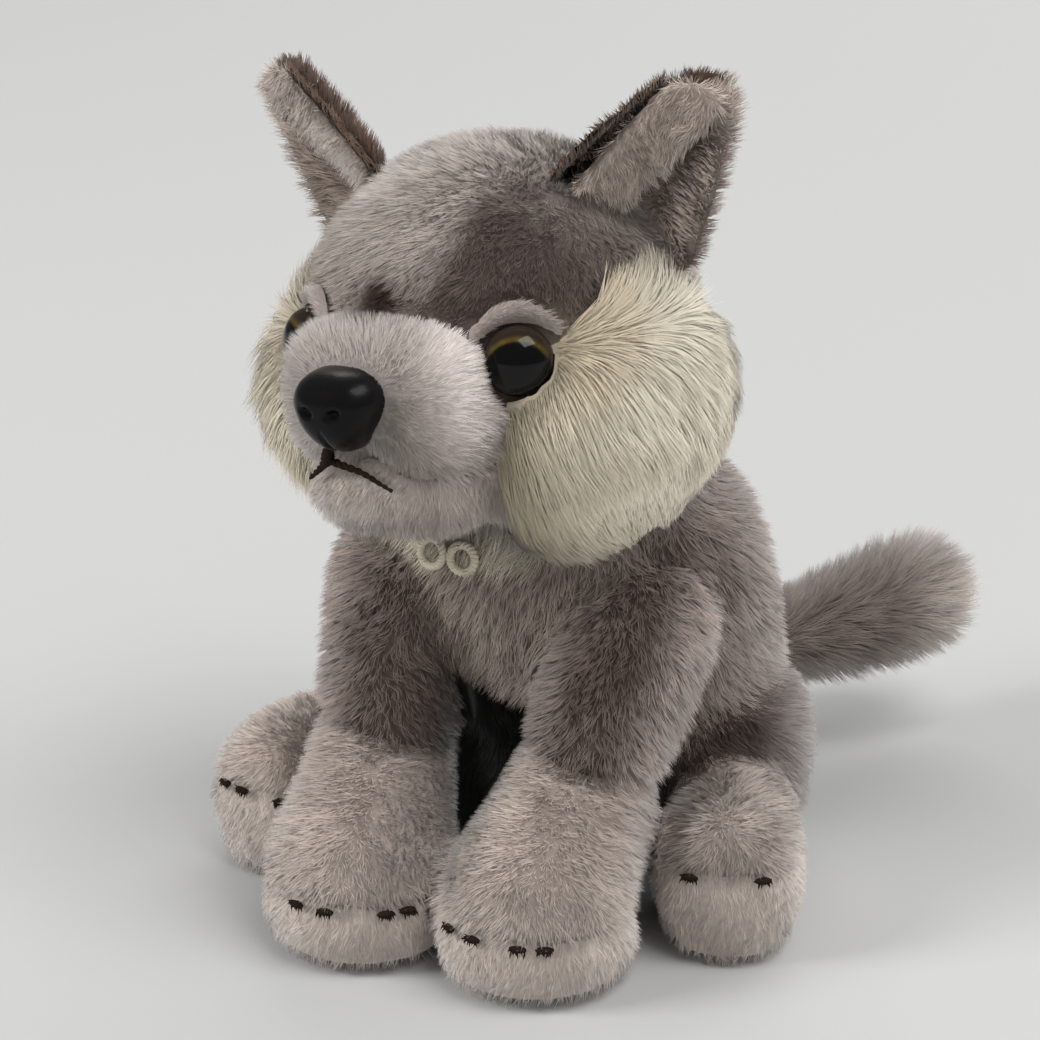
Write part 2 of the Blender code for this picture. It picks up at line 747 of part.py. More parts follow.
def make_claws(name, tops, centre, toe_angle, height, offsets):
    """Short stitches over the sole seam, side by side across the front of a paw."""
    trees = [surface_of(obj) for obj in tops]
    lift = CLAW_WIDTH / 2 + SEAM_GAP
    for index, offset in enumerate(offsets):
        angle = toe_angle + math.radians(offset)
        way = Vector((math.sin(angle), -math.cos(angle), 0))
        start = centre + Vector((0, 0, height)) + way * PAW_LENGTH * 2
        points = []
        for step in (-0.5, -0.17, 0.17, 0.5):
            rise = Vector((0, 0, step * CLAW_LENGTH))
            points.append(laid(trees, start + rise, -way, lift))
        thread(f"{name}_{index + 1}", points, CLAW_WIDTH, thread_brown)


def make_mouth(muzzle, chin):
    """A short stitch down from the nose, and the lip line that droops to both sides of it."""
    trees = [surface_of(muzzle), surface_of(chin)]
    world = head_frame.matrix_world
    way = (world.to_3x3() @ Vector((0, 1, 0))).normalized()
    lift = THREAD_WIDTH / 2 + SEAM_GAP
    front = -muzzle_front() * 2
    line = []
    for step in range(-4, 5):
        across = step / 4
        drop = MOUTH_DROP + MOUTH_SAG * across * across
        start = world @ Vector((across * MOUTH_WIDTH / 2, front, NOSE_RAISE - drop))
        line.append(laid(trees, start, way, lift))
    lip = as_mesh(thread("mouth_line", line, THREAD_WIDTH, thread_brown))
    stitch = []
    top = NOSE_RAISE - NOSE_HEIGHT / 2 - SEAM_GAP - THREAD_WIDTH / 2
    bottom = NOSE_RAISE - MOUTH_DROP + THREAD_WIDTH + SEAM_GAP
    for step in range(4):
        height = top + (bottom - top) * step / 3
        start = world @ Vector((0, front, height))
        stitch.append(laid(trees, start, way, lift))
    groove = as_mesh(thread("lip_stitch", stitch, THREAD_WIDTH, thread_brown))
    cut(groove, grown(lip))
    for soft in (muzzle, chin):
        cut(soft, grown(lip), grown(groove))


def make_hang_loops(torso):
    """Two small rings of plaited cord that lie on the chest under the chin."""
    tree = surface_of(torso)
    for side, sign in SIDES:
        middle_x = LOOP_PLACE[0] + sign * LOOP_SPACING / 2
        points = []
        for step in range(12):
            angle = 2 * math.pi * step / 12
            x = middle_x + math.cos(angle) * LOOP_DIAMETER / 2
            z = LOOP_PLACE[1] + math.sin(angle) * LOOP_DIAMETER / 2
            points.append(laid([tree], Vector((x, -SEAT_DEPTH * 2, z)), Vector((0, 1, 0)), LOOP_CORD / 2 + SEAM_GAP))
        thread("hang_loop_" + side, points, LOOP_CORD, cord_white, closed=True)


# Build

clear_scene()
parts = new_collection("plush_wolf")
cutters = new_collection("cutters")
cutters.hide_render = True

fur_body = finish_of("fur_body", GREY_BROWN, 0.95)
fur_crown = finish_of("fur_crown", CROWN_GREY, 0.95)
fur_muzzle = finish_of("fur_muzzle", PINK_GREY, 0.95)
fur_cheek = finish_of("fur_cheek", CREAM, 0.9)
fur_brow = finish_of("fur_brow", MAUVE_GREY, 0.9)
fur_lining = finish_of("fur_lining", PINK_GREY, 0.95)
fur_dark = finish_of("fur_dark", DARK_BROWN, 0.9)
fur_paw = finish_of("fur_paw", PINK_GREY, 0.95)
gloss_black = finish_of("gloss_black", BLACK, 0.12)
nylon = finish_of("nylon", NYLON, 0.5)
thread_brown = finish_of("thread_brown", DARK_BROWN, 0.7)
cord_white = finish_of("cord_white", WHITE_CORD, 0.8)

head_frame = make_head_frame()
bpy.context.view_layer.update()

reach = 0.4
floor = box_cutter("cutter_floor", (-reach, -reach, -reach), (reach, reach, 0))

torso = make_torso()
head = make_head()
muzzle = make_muzzle()
chin = make_chin()
cheeks = {side: make_cheek(side, sign) for side, sign in SIDES}
brows = {side: make_brow(side, sign) for side, sign in SIDES}
tail = make_tail()

grown_torso = grown(torso)
grown_head = grown(head)
grown_muzzle = grown(muzzle)
grown_chin = grown(chin)
grown_brows = {side: grown(brows[side]) for side, _ in SIDES}
grown_cheeks = {side: grown(cheeks[side]) for side, _ in SIDES}

cut(torso, floor)
cut(tail, grown_torso)
cut(head, grown_torso)
cut(muzzle, grown_head)
cut(chin, grown_head, grown_torso, grown_muzzle)

nose, nose_seat, nose_bore, nose_pocket = make_nose()
cut(muzzle, nose_seat, nose_bore, nose_pocket)
cut(head, nose_bore)

for side, sign in SIDES:
    eye, socket, pocket = make_eye(side, sign)
    cut(head, socket, pocket)
    cut(muzzle, socket)
    cut(cheeks[side], grown_head, grown_torso, grown_muzzle, grown_chin, socket, cheek_half_cutter(side, sign))
    cut(brows[side], grown_head, grown_muzzle, grown_cheeks[side], socket)
    shell, lining, edge = make_ear(side, sign)
    grown_shell, grown_lining = grown(shell), grown(lining)
    cut(shell, grown_head)
    cut(lining, grown_head, grown_shell)
    cut(edge, grown_head, grown_shell, grown_lining)

legs, wrists, paws, thighs, feet = {}, {}, {}, {}, {}
for side, sign in SIDES:
    legs[side], wrists[side] = make_front_leg(side, sign)
    paws[side] = make_front_paw(side, sign, wrists[side])
    thighs[side] = make_thigh(side, sign)
    feet[side] = make_hind_foot(side, sign)

grown_legs = {side: grown(legs[side]) for side, _ in SIDES}
grown_paws = {side: grown(paws[side]) for side, _ in SIDES}
grown_thighs = {side: grown(thighs[side]) for side, _ in SIDES}
grown_feet = {side: grown(feet[side]) for side, _ in SIDES}

for side, sign in SIDES:
    above, below = seam_cutters("cuff_" + side, wrists[side], (-CUFF_TILT, CUFF_TILT, 0))
    cut(legs[side], below, grown_torso)
    cut(paws[side], floor, above, grown_torso)
    cut(thighs[side], floor, grown_feet[side], grown_paws[side], grown_legs[side], grown_torso)
    cut(feet[side], floor, grown_paws[side], grown_torso)
    cut(cheeks[side], *grown_legs.values())
cut(paws["right"], grown_paws["left"])
cut(legs["right"], grown_legs["left"])

paw_soles, foot_soles = {}, {}
for side, sign in SIDES:
    paw_soles[side] = split_sole(paws[side], "front_sole_" + side, SOLE_SEAM)
    foot_soles[side] = split_sole(feet[side], "hind_sole_" + side, FOOT_SOLE_SEAM)

bpy.context.view_layer.update()
make_mouth(muzzle, chin)
make_hang_loops(torso)
for side, sign in SIDES:
    front = (paws[side], paw_soles[side])
    make_claws("claw_front_" + side, front, paw_place(sign), PAW_TURN[side], SOLE_SEAM, FRONT_CLAWS[side])
    hind = (feet[side], foot_soles[side])
    toe_angle = sign * FOOT_SPLAY
    make_claws("claw_hind_" + side, hind, foot_place(sign), toe_angle, FOOT_SOLE_SEAM, HIND_CLAWS[side])
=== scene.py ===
"""Looks of the sitting plush wolf: pile on every sewn form, eyes, nose, thread, cord, floor and light."""

import math
from collections import namedtuple

import bpy
import numpy as np
from mathutils import Matrix, Vector
from mathutils.bvhtree import BVHTree


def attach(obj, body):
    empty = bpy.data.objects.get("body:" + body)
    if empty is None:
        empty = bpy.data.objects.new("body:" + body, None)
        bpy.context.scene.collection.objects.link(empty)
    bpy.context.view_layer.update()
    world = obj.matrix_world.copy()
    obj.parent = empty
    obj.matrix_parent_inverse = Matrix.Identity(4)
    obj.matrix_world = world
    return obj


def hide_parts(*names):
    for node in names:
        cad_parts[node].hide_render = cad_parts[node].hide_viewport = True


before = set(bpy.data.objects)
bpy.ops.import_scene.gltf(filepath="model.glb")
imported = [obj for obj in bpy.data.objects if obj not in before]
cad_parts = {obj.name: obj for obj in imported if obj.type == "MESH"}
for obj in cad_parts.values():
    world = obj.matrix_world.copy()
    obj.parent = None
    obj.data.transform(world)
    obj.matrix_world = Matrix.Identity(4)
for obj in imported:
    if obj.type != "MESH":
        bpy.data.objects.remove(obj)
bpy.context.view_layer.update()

# Lengths here are in millimetres, and become metres when a mesh is made
MM = 0.001
SIDES = (("left", 1), ("right", -1))
# All random draws start from this seed, and every pile's density is taken by this share
SEED = 11
DENSITY = 0.765

# Where the head is and how it is turned, as in the part's source
HEAD_CENTRE = np.array([-8.1, -6.2, 109.8])
HEAD_TURN = math.radians(-11)
HEAD_TILT = math.radians(-5)

# The photograph's view, with the camera's target, how far it is moved aside and the picture's scale there
VIEW_AZIMUTH = math.radians(23)
VIEW_ELEVATION = math.radians(20)
VIEW_DISTANCE = 600.0
VIEW_TARGET = np.array([-3.0, 0.0, 69.0])
VIEW_ASIDE = -4.0
PIXELS_PER_MM = 5.1
FRAME_PIXELS = 1040
SENSOR_MM = 36.0


# Small helpers


def unit(vectors):
    return vectors / np.maximum(np.linalg.norm(vectors, axis=-1, keepdims=True), 1e-9)


def smooth(value, low, high):
    share = np.clip((value - low) / (high - low), 0, 1)
    return share * share * (3 - 2 * share)


def near(distance, width):
    """A share that falls from 1 at no distance to almost 0 at twice this width."""
    return np.exp(-(distance / width) ** 2)


def mixed(first, second, share):
    share = np.asarray(share)[..., None]
    return np.asarray(first) * (1 - share) + np.asarray(second) * share


def turn_z(angle):
    c, s = math.cos(angle), math.sin(angle)
    return np.array([[c, -s, 0], [s, c, 0], [0, 0, 1]])


def turn_y(angle):
    c, s = math.cos(angle), math.sin(angle)
    return np.array([[c, 0, s], [0, 1, 0], [-s, 0, c]])


HEAD_AXES = turn_z(HEAD_TURN) @ turn_y(HEAD_TILT)


def in_head(points):
    """World places as seen from the head: x to its left, y to its back, z to its crown."""
    return (points - HEAD_CENTRE) @ HEAD_AXES


def from_head(points):
    return np.asarray(points) @ HEAD_AXES.T + HEAD_CENTRE


def head_way(ways):
    return np.asarray(ways) @ HEAD_AXES.T


# Noise: how many waves, the spread of their lengths, and the numbers of an integer hash
WAVES = 6
WAVE_SPREAD = (0.7, 1.5)
HASH_PRIMES = (73856093, 19349663, 83492791, 7919)
HASH_FACTORS = (0x45D9F3B, 0x2C1B3C6D)
HASH_SHIFTS = (16, 15, 13)
WORD = 0xFFFFFFFF
FRACTION = 0xFFFFFF
CELL_VALUES = 6


def noise(points, wavelength, seed):
    """Smooth noise from -1 to 1, a sum of waves in random directions."""
    source = np.random.default_rng(seed)
    total = np.zeros(len(points))
    for _ in range(WAVES):
        way = unit(source.normal(size=3))
        length = wavelength * source.uniform(*WAVE_SPREAD)
        total += np.sin(points @ way * (2 * math.pi / length) + source.uniform(0, 2 * math.pi))
    return np.clip(total / math.sqrt(WAVES), -2, 2) / 2


def cell_values(cells, seed):
    """The same few numbers from 0 to 1 for every point of one cell."""
    by_x, by_y, by_z, by_seed = HASH_PRIMES
    mixed_up = (cells[:, 0] * by_x) ^ (cells[:, 1] * by_y) ^ (cells[:, 2] * by_z) ^ (seed * by_seed)
    mixed_up = mixed_up & WORD
    out = np.empty((len(cells), CELL_VALUES))
    for index in range(CELL_VALUES):
        for factor, shift, more in zip(HASH_FACTORS, HASH_SHIFTS, (index, 0)):
            mixed_up ^= mixed_up >> shift
            mixed_up = (mixed_up * factor + more) & WORD
        mixed_up ^= mixed_up >> HASH_SHIFTS[-1]
        out[:, index] = (mixed_up & FRACTION) / FRACTION
    return out


def tufts(points, size, seed):
    """For each point, the centre of its tuft and three numbers that the tuft's strands share."""
    base = np.floor(points / size).astype(np.int64)
    nearest = np.full(len(points), np.inf)
    centre = np.zeros_like(points)
    shared = np.zeros((len(points), 3))
    for dx in (-1, 0, 1):
        for dy in (-1, 0, 1):
            for dz in (-1, 0, 1):
                cells = base + (dx, dy, dz)
                values = cell_values(cells, seed)
                place = (cells + values[:, :3]) * size
                distance = ((points - place) ** 2).sum(1)
                closer = distance < nearest
                nearest[closer] = distance[closer]
                centre[closer] = place[closer]
                shared[closer] = values[closer, 3:]
    return centre, shared


# Meshes as arrays


def values_of(items, name, width, kind=np.int32):
    """One value of all the items of a mesh, in rows of this width."""
    values = np.empty(len(items) * width, kind)
    items.foreach_get(name, values)
    return values.reshape(-1, width)


def linked(name, data):
    """A new object with this data, in the scene."""
    obj = bpy.data.objects.new(name, data)
    bpy.context.scene.collection.objects.link(obj)
    return obj


def arrays_of(mesh):
    mesh.calc_loop_triangles()
    points = values_of(mesh.vertices, "co", 3, np.float32).astype(float) / MM
    return points, values_of(mesh.loop_triangles, "vertices", 3)


def quads_of(mesh):
    return values_of(mesh.loops, "vertex_index", 1)[:, 0], values_of(mesh.polygons, "loop_total", 1)[:, 0]


WELD_REACH = 0.001
RELAX_ROUNDS = 2


def welded(node):
    """The CAD node's mesh with the points of its sharp edges made one again."""
    points, faces = arrays_of(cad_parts[node].data)
    _, first, index = np.unique(np.round(points / WELD_REACH).astype(np.int64), axis=0,
                                return_index=True, return_inverse=True)
    faces = index.reshape(-1)[faces]
    whole = (faces[:, 0] != faces[:, 1]) & (faces[:, 1] != faces[:, 2]) & (faces[:, 0] != faces[:, 2])
    return points[first], faces[whole]


def mesh_from(name, points, corners, sizes):
    mesh = bpy.data.meshes.new(name)
    mesh.vertices.add(len(points))
    mesh.vertices.foreach_set("co", (np.asarray(points) * MM).astype(np.float32).ravel())
    mesh.loops.add(len(corners))
    mesh.loops.foreach_set("vertex_index", np.asarray(corners, np.int32))
    mesh.polygons.add(len(sizes))
    starts = np.concatenate([[0], np.cumsum(sizes)[:-1]]).astype(np.int32)
    mesh.polygons.foreach_set("loop_start", starts)
    mesh.update(calc_edges=True)
    mesh.shade_smooth()
    return mesh


def remeshed(name, points, faces, voxel):
    """An even quad mesh over these closed solids, which closes the seams between them."""
    mesh = mesh_from(name, points, faces.ravel(), np.full(len(faces), 3))
    obj = linked(name, mesh)
    remesh = obj.modifiers.new("even", "REMESH")
    remesh.mode = "VOXEL"
    remesh.voxel_size = voxel * MM
    relax = obj.modifiers.new("relax", "SMOOTH")
    relax.factor = 0.5
    relax.iterations = RELAX_ROUNDS
    graph = bpy.context.evaluated_depsgraph_get()
    made = bpy.data.meshes.new_from_object(obj.evaluated_get(graph))
    bpy.data.objects.remove(obj)
    bpy.data.meshes.remove(mesh)
    return made


def fused(parts):
    """Several meshes as one: their points, their faces' corners and, where they have them, sizes."""
    starts = np.cumsum([0] + [len(part[0]) for part in parts])
    moved = [(points, corners + start, *rest) for (points, corners, *rest), start in zip(parts, starts)]
    return tuple(np.concatenate(column) for column in zip(*moved))


def sphere_grid(around, down):
    """Places on a unit sphere whose pole is +z, in rings from the pole, and the quads between them."""
    turn = np.arange(around) * 2 * math.pi / around
    fall = np.arange(1, down) * math.pi / down
    flat = np.sin(fall)[:, None]
    level = np.cos(fall)[:, None] * np.ones(around)
    ring = np.stack([flat * np.cos(turn), flat * np.sin(turn), level], -1).reshape(-1, 3)
    points = np.concatenate([[[0, 0, 1]], ring, [[0, 0, -1]]])
    last = len(points) - 1
    corners, sizes = [], []
    for index in range(around):
        after = (index + 1) % around
        corners += [0, 1 + index, 1 + after]
        sizes.append(3)
        for row in range(down - 2):
            top, low = 1 + row * around, 1 + (row + 1) * around
            corners += [top + index, low + index, low + after, top + after]
            sizes.append(4)
        base = 1 + (down - 2) * around
        corners += [base + after, base + index, last]
        sizes.append(3)
    return points, np.array(corners), np.array(sizes)


def triangles_from(corners, sizes):
    """The same faces as triangles, each fanned from its first corner."""
    starts = np.cumsum(sizes) - sizes
    faces = []
    for start, size in zip(starts, sizes):
        for step in range(1, size - 1):
            faces.append((corners[start], corners[start + step], corners[start + step + 1]))
    return np.array(faces)


def tree_of(points, faces):
    return BVHTree.FromPolygons(points.tolist(), faces.tolist())


def nearest_on(tree, points):
    """The nearest place and its face's normal, for every point."""
    places, normals = np.empty((2, len(points), 3))
    for index, point in enumerate(points.tolist()):
        places[index], normals[index], _, _ = tree.find_nearest(point)
    return places, normals


# Materials


def finish_of(name, colour, roughness, specular=0.5, sheen=0.0):
    material = bpy.data.materials.new(name)
    material.use_nodes = True
    inputs = material.node_tree.nodes["Principled BSDF"].inputs
    inputs["Base Color"].default_value = (*colour, 1)
    inputs["Roughness"].default_value = roughness
    inputs["Specular IOR Level"].default_value = specular
    inputs["Sheen Weight"].default_value = sheen
    return material


def pile_finish(name, roughness, specular, sheen=0.0):
    """A finish whose colour is painted on the points of the mesh."""
    material = finish_of(name, (0.5, 0.5, 0.5), roughness, specular, sheen)
    nodes = material.node_tree.nodes
    paint = nodes.new("ShaderNodeAttribute")
    paint.attribute_name = "paint"
    material.node_tree.links.new(paint.outputs["Color"], nodes["Principled BSDF"].inputs["Base Color"])
    return material


def painted(mesh, colours):
    layer = mesh.attributes.new("paint", "FLOAT_COLOR", "POINT")
    rgba = np.ones((len(colours), 4), np.float32)
    rgba[:, :3] = colours
    layer.data.foreach_set("color", rgba.ravel())


def piece_of(name, mesh, material, nodes):
    mesh.materials.clear()
    mesh.materials.append(material)
    obj = linked(name, mesh)
    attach(obj, "root")
    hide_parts(*nodes)


# Colours of the pile, as linear red, green and blue at the tips

BODY_LIGHT = (0.53, 0.435, 0.385)
BODY_DARK = (0.138, 0.099, 0.082)
THIGH_DARK = (0.068, 0.046, 0.038)
# Painted light on the chest where it faces forward
CHEST_PAINTED_LIGHT = (0.45, 0.375, 0.310)
CROWN_LIGHT = (0.46, 0.395, 0.350)
CROWN_DARK = (0.134, 0.095, 0.084)
CROWN_SIDE = (0.36, 0.300, 0.252)
SPOT_BROWN = (0.038, 0.018, 0.009)
WARM_BROWN = (0.180, 0.125, 0.090)
MUZZLE = (0.41, 0.360, 0.325)
# Painted light on the muzzle's left side
MUZZLE_PAINTED_LIGHT = (0.92, 0.820, 0.770)
CHIN = (0.62, 0.535, 0.475)
CHIN_DARK = (0.46, 0.390, 0.335)
PAW = (0.54, 0.450, 0.395)
PAW_PALE = (0.74, 0.635, 0.565)
PAW_DARK = (0.38, 0.310, 0.265)
SOLE = (0.86, 0.740, 0.660)
SOLE_DARK = (0.66, 0.560, 0.490)
CREAM = (0.86, 0.790, 0.640)
CREAM_DEEP = (0.64, 0.535, 0.375)
# Painted shade beside the muzzle, olive on the cream
OLIVE_PAINTED_SHADE = (0.240, 0.205, 0.135)
BROW = (0.45, 0.372, 0.335)
BROW_DARK = (0.32, 0.260, 0.232)
LINING = (0.62, 0.515, 0.445)
LINING_DARK = (0.40, 0.325, 0.272)
EAR_GREY = (0.28, 0.222, 0.187)
EAR_PALE = (0.62, 0.520, 0.455)
EAR_DARK = (0.088, 0.054, 0.039)
EAR_BROWN = (0.20, 0.134, 0.098)
TAIL_DARK = (0.120, 0.088, 0.073)
TAIL_LIGHT = (0.60, 0.520, 0.460)

# The back of the muzzle's bridge, where its pile gets short and brown, from front to back
BRIDGE_BACK = (-44, -38)
# Patches of a second colour in a first: both colours, the patches' size, seed, range and share
PATCHES = {
    "muzzle": (MUZZLE, CHIN_DARK, 7, 51, (-0.5, 0.9), 0.25),
    "chin": (CHIN, CHIN_DARK, 5, 52, (-0.5, 0.8), 0.6),
    "cheek": (CREAM, CREAM_DEEP, 15, 61, (-0.2, 0.9), 0.45),
    "brow": (BROW, BROW_DARK, 4, 71, (-0.5, 0.8), 0.5),
    "lining": (LINING, LINING_DARK, 5, 82, (-0.4, 0.9), 0.5),
    "paw": (PAW, PAW_DARK, 9, 91, (-0.5, 0.9), 0.5),
    "sole": (SOLE, SOLE_DARK, 8, 92, (-0.4, 0.9), 0.4),
}
# A level direction across the toy, towards its left and a little to its back, and the tail's direction
ACROSS = np.array([0.92, 0.39, 0.0])
TAIL_WAY = unit(np.array([0.72, 0.69, 0.1]))
# The cream pile under the chin: the line that it follows, its width and its strength
BIB = ((-22.0, -25.0, 74.0), (4.0, -27.0, 74.0))
BIB_WIDTH = 4.8
BIB_SHARE = 0.85
# The body's patches: how strong each size is, and the small one
PATCH_SHARE = 0.6
SMALL_PATCH = 7
# How far the cloth has turned across the toy where a leg or a thigh goes from dark to pale, painted sheen
# on the sides that turn aside; on the chest, painted light where it turns aside and where it faces forward
LEFT_OUTER_TURN = (0.08, 0.70)
LEFT_INNER_TURN = (0.45, 0.90)
RIGHT_OUTER_TURN = (0.50, 0.95)
CHEST_TURN = (0.3, 0.8)
CHEST_FRONT = (0.55, 0.9)
THIGH_TURN = (0.62, 0.95)
# The brown spot above the muzzle as seen from the head: its middle, half its size and that of its warm rim
SPOT_PLACE = (-3.4, 11.2)
SPOT_HALF = (4.0, 5.2)
SPOT_GLOW = (10.0, 4.5)
SPOT_FRONT = (25, 31)
SPOT_STRENGTH = 1.6
# The dark patch's left edge on the crown, by how far forward it is, and its right edge, by height
DARK_FORWARD = (-10, 4, 14, 27, 33, 36, 40)
DARK_LEFT = (25, 17, 10.5, 8.5, 3.5, -0.5, -3)
DARK_HEIGHT = (11, 22.5, 28.7, 34)
DARK_RIGHT = (37, 26, 17.5, 10)
DARK_TOP = (28, 34)
DARK_BACK = (-10, 2)
# How far the cheeks' cream reaches into the crown, and the ears' dark rims into each of their cloths
CHEEK_BLEND = 3.6
RIM_REACH = (1.3, 2.3)
BACK_REACH = (3.2, 4.8)
INWARD_REACH = (6.5, 9.0)
# The tail's share of light pile by how far along it is
TAIL_ALONG = (60, 73, 80, 86, 97)
TAIL_PALE = (0.20, 0.24, 0.12, 0.16, 0.82)
# How much painted light each ear's lining and each hind foot gets, on the left and on the right
LINING_PAINTED_LIGHT = (1.20, 1.05)
FOOT_PAINTED_LIGHT = (0.88, 1.12)


def to_path(points, path):
    """How far each point is from a line through these places."""
    best = np.full(len(points), np.inf)
    path = [np.asarray(place, float) for place in path]
    for start, end in zip(path, path[1:]):
        way = end - start
        share = np.clip((points - start) @ way / (way @ way), 0, 1)
        best = np.minimum(best, np.linalg.norm(points - start - share[:, None] * way, axis=1))
    return best


def mottled(points, cloth):
    """A cloth's colour with its patches."""
    first, second, size, seed, bounds, share = PATCHES[cloth]
    return mixed(first, second, smooth(noise(points, size, seed), *bounds) * share)


def mottled_as(cloth):
    def colour(points, normals):
        return mottled(points, cloth)
    return colour


def patches(points, size, seed):
    """Large and small patches together, from about -1 to 1."""
    return noise(points, size, seed) * PATCH_SHARE + noise(points, SMALL_PATCH, seed + 1) * PATCH_SHARE


def bib_share(points):
    return np.exp(-(to_path(points, BIB) / BIB_WIDTH) ** 4)


def colour_body(points, normals):
    """Dark where the leg faces the front and pale on its outer side, the pale sides a painted sheen; the
    patches and the cream bib are its own colour.
    """
    turned = normals @ ACROSS
    on_left = points[:, 0] > -5
    left = smooth(turned, *LEFT_OUTER_TURN) + 0.38 * smooth(-turned, *LEFT_INNER_TURN)
    pale = np.where(on_left, left, 0.62 * smooth(-turned, *RIGHT_OUTER_TURN))
    least = np.where(on_left, 0.0, 0.12)
    patch = 0.22 * smooth(patches(points, 20, 21), -0.6, 1.0)
    base = mixed(BODY_DARK, BODY_LIGHT, np.clip(least + patch + 0.80 * pale, 0, 1))
    return mixed(base, CREAM, bib_share(points) * BIB_SHARE)


def colour_chest(points, normals):
    patch = 0.35 * smooth(patches(points, 16, 23), -0.7, 1.0)
    # Painted light: a little lighter where the chest turns aside, much lighter where it faces forward
    base = mixed(BODY_DARK, BODY_LIGHT, 0.26 + patch + 0.10 * smooth(normals @ ACROSS, *CHEST_TURN))
    base = mixed(base, CHEST_PAINTED_LIGHT, smooth(-normals[:, 1], *CHEST_FRONT) * 0.75)
    return mixed(base, CREAM, bib_share(points) * BIB_SHARE)


def colour_thigh(points, normals):
    # Painted sheen: paler on the sides that turn aside across the view
    pale = 0.30 * smooth(np.abs(normals @ ACROSS), *THIGH_TURN)
    return mixed(THIGH_DARK, BODY_LIGHT, 0.10 * smooth(noise(points, 14, 31), -0.5, 0.9) + pale)


def brown_spot(aside, back, up):
    """How brown and how dark the pile is around the spot above the muzzle."""
    across, over = aside - SPOT_PLACE[0], up - SPOT_PLACE[1]
    front = smooth(-back, *SPOT_FRONT)
    dark = np.exp(-((across / SPOT_HALF[0]) ** 2 + (over / SPOT_HALF[1]) ** 2) ** 1.3)
    warm = np.exp(-((across / SPOT_GLOW[0]) ** 2 + ((over + 1.0) / SPOT_GLOW[1]) ** 2))
    return warm * front, np.clip(dark * front * SPOT_STRENGTH, 0, 1)


def crown_dark(aside, back, up, wander):
    """How dark the crown is: a patch above the left eye, with soft and uneven edges."""
    left_edge = np.interp(-back, DARK_FORWARD, DARK_LEFT)
    right_edge = np.interp(up, DARK_HEIGHT, DARK_RIGHT)
    dark = smooth(aside - left_edge + wander, -4.5, 4.5)
    dark *= 1 - 0.9 * smooth(up + wander, *DARK_TOP)
    dark *= 1 - smooth(back + wander, *DARK_BACK)
    return dark * (1 - 0.85 * smooth(aside - right_edge + wander, -6, 6))


def colour_crown(points, normals):
    aside, back, up = in_head(points).T
    side = 0.55 * smooth(-aside, 6, 26) + 0.3 * smooth(noise(points, 9, 42), -0.3, 1)
    light = mixed(CROWN_LIGHT, CROWN_SIDE, side)
    base = mixed(light, CROWN_DARK, crown_dark(aside, back, up, noise(points, 8, 41) * 2.5))
    cheek = near(distances_to(cheek_tree, points, 9.0), CHEEK_BLEND)
    cheek *= smooth(-back, 2, 10)
    base = mixed(base, CREAM_DEEP, 0.6 * cheek * (0.75 + 0.5 * noise(points, 4, 43)))
    warm, spot = brown_spot(aside, back, up)
    return mixed(mixed(base, WARM_BROWN, warm * 0.75), SPOT_BROWN, spot)


def colour_muzzle(points, normals):
    aside, back, up = in_head(points).T
    # Painted light: paler towards the muzzle's left side and back
    pale = smooth(aside + 0.5 * (back + 45), 8, 22)
    base = mixed(mottled(points, "muzzle"), MUZZLE_PAINTED_LIGHT, pale)
    base = mixed(base, CHIN, smooth(-up, 4, 16) * 0.5)
    warm, spot = brown_spot(aside, back, up)
    behind = smooth(back, *BRIDGE_BACK) * smooth(up, 4, 8)
    return mixed(mixed(base, WARM_BROWN, warm * behind * 0.5), SPOT_BROWN, spot * behind)


def colour_cheek(points, normals):
    """Cream, with painted olive shade beside the muzzle and a deeper tone near the eyes; painted light on
    its low part and painted shade on its top.
    """
    aside, back, up = in_head(points).T
    beside = smooth(-aside, -31, -22) * smooth(-up, -8, 2) * smooth(-back, 12, 28)
    # Painted shade beside the muzzle, on the left cheek only
    base = mixed(mottled(points, "cheek"), OLIVE_PAINTED_SHADE, beside * (aside > 0) * 0.8)
    deep = smooth(-np.abs(aside), -42, -28) * smooth(-back, 0, 20)
    base = mixed(base, CREAM_DEEP, deep * (0.35 + 0.65 * smooth(up, -8, 4)))
    # Painted light on the low cheek and painted shade on its top
    light = 1 + 0.16 * smooth(-up, 12, 24) - 0.24 * smooth(up, -2, 8)
    return base * light[:, None]


def ear_rim(side):
    """The dark inner edge of an ear, from its foot to the ear's tip."""
    edge, back = solids["ear_edge_" + side][0], solids["ear_back_" + side][0]
    order = np.argsort(edge @ HEAD_AXES[:, 2])
    tip = back[np.argmax(back @ HEAD_AXES[:, 2])]
    return [edge[order[:8]].mean(0), edge[order[-8:]].mean(0), tip]


def near_rim(points, reach):
    away = np.minimum(to_path(points, ear_rim("left")), to_path(points, ear_rim("right")))
    return 1 - smooth(away + noise(points, 3, 84) * 0.5, *reach)


def colour_ear_back(points, normals):
    local = in_head(points)
    pale = smooth(noise(points, 7, 81), -0.6, 0.8) * 0.35 + 0.6 * smooth(np.abs(local[:, 0]), 42, 52)
    inward = -(normals @ HEAD_AXES)[:, 0] * np.sign(local[:, 0])
    inner = smooth(inward, -0.1, 0.25) * near_rim(points, INWARD_REACH)
    return mixed(mixed(EAR_GREY, EAR_PALE, pale), EAR_DARK, np.maximum(near_rim(points, BACK_REACH), inner))


def colour_lining(points, normals):
    # Painted light: the lining on the head's left is made lighter than the one on its right
    base = mottled(points, "lining") * np.where(in_head(points)[:, 0] > 0, *LINING_PAINTED_LIGHT)[:, None]
    return mixed(base, EAR_DARK, near_rim(points, RIM_REACH) * 0.8)


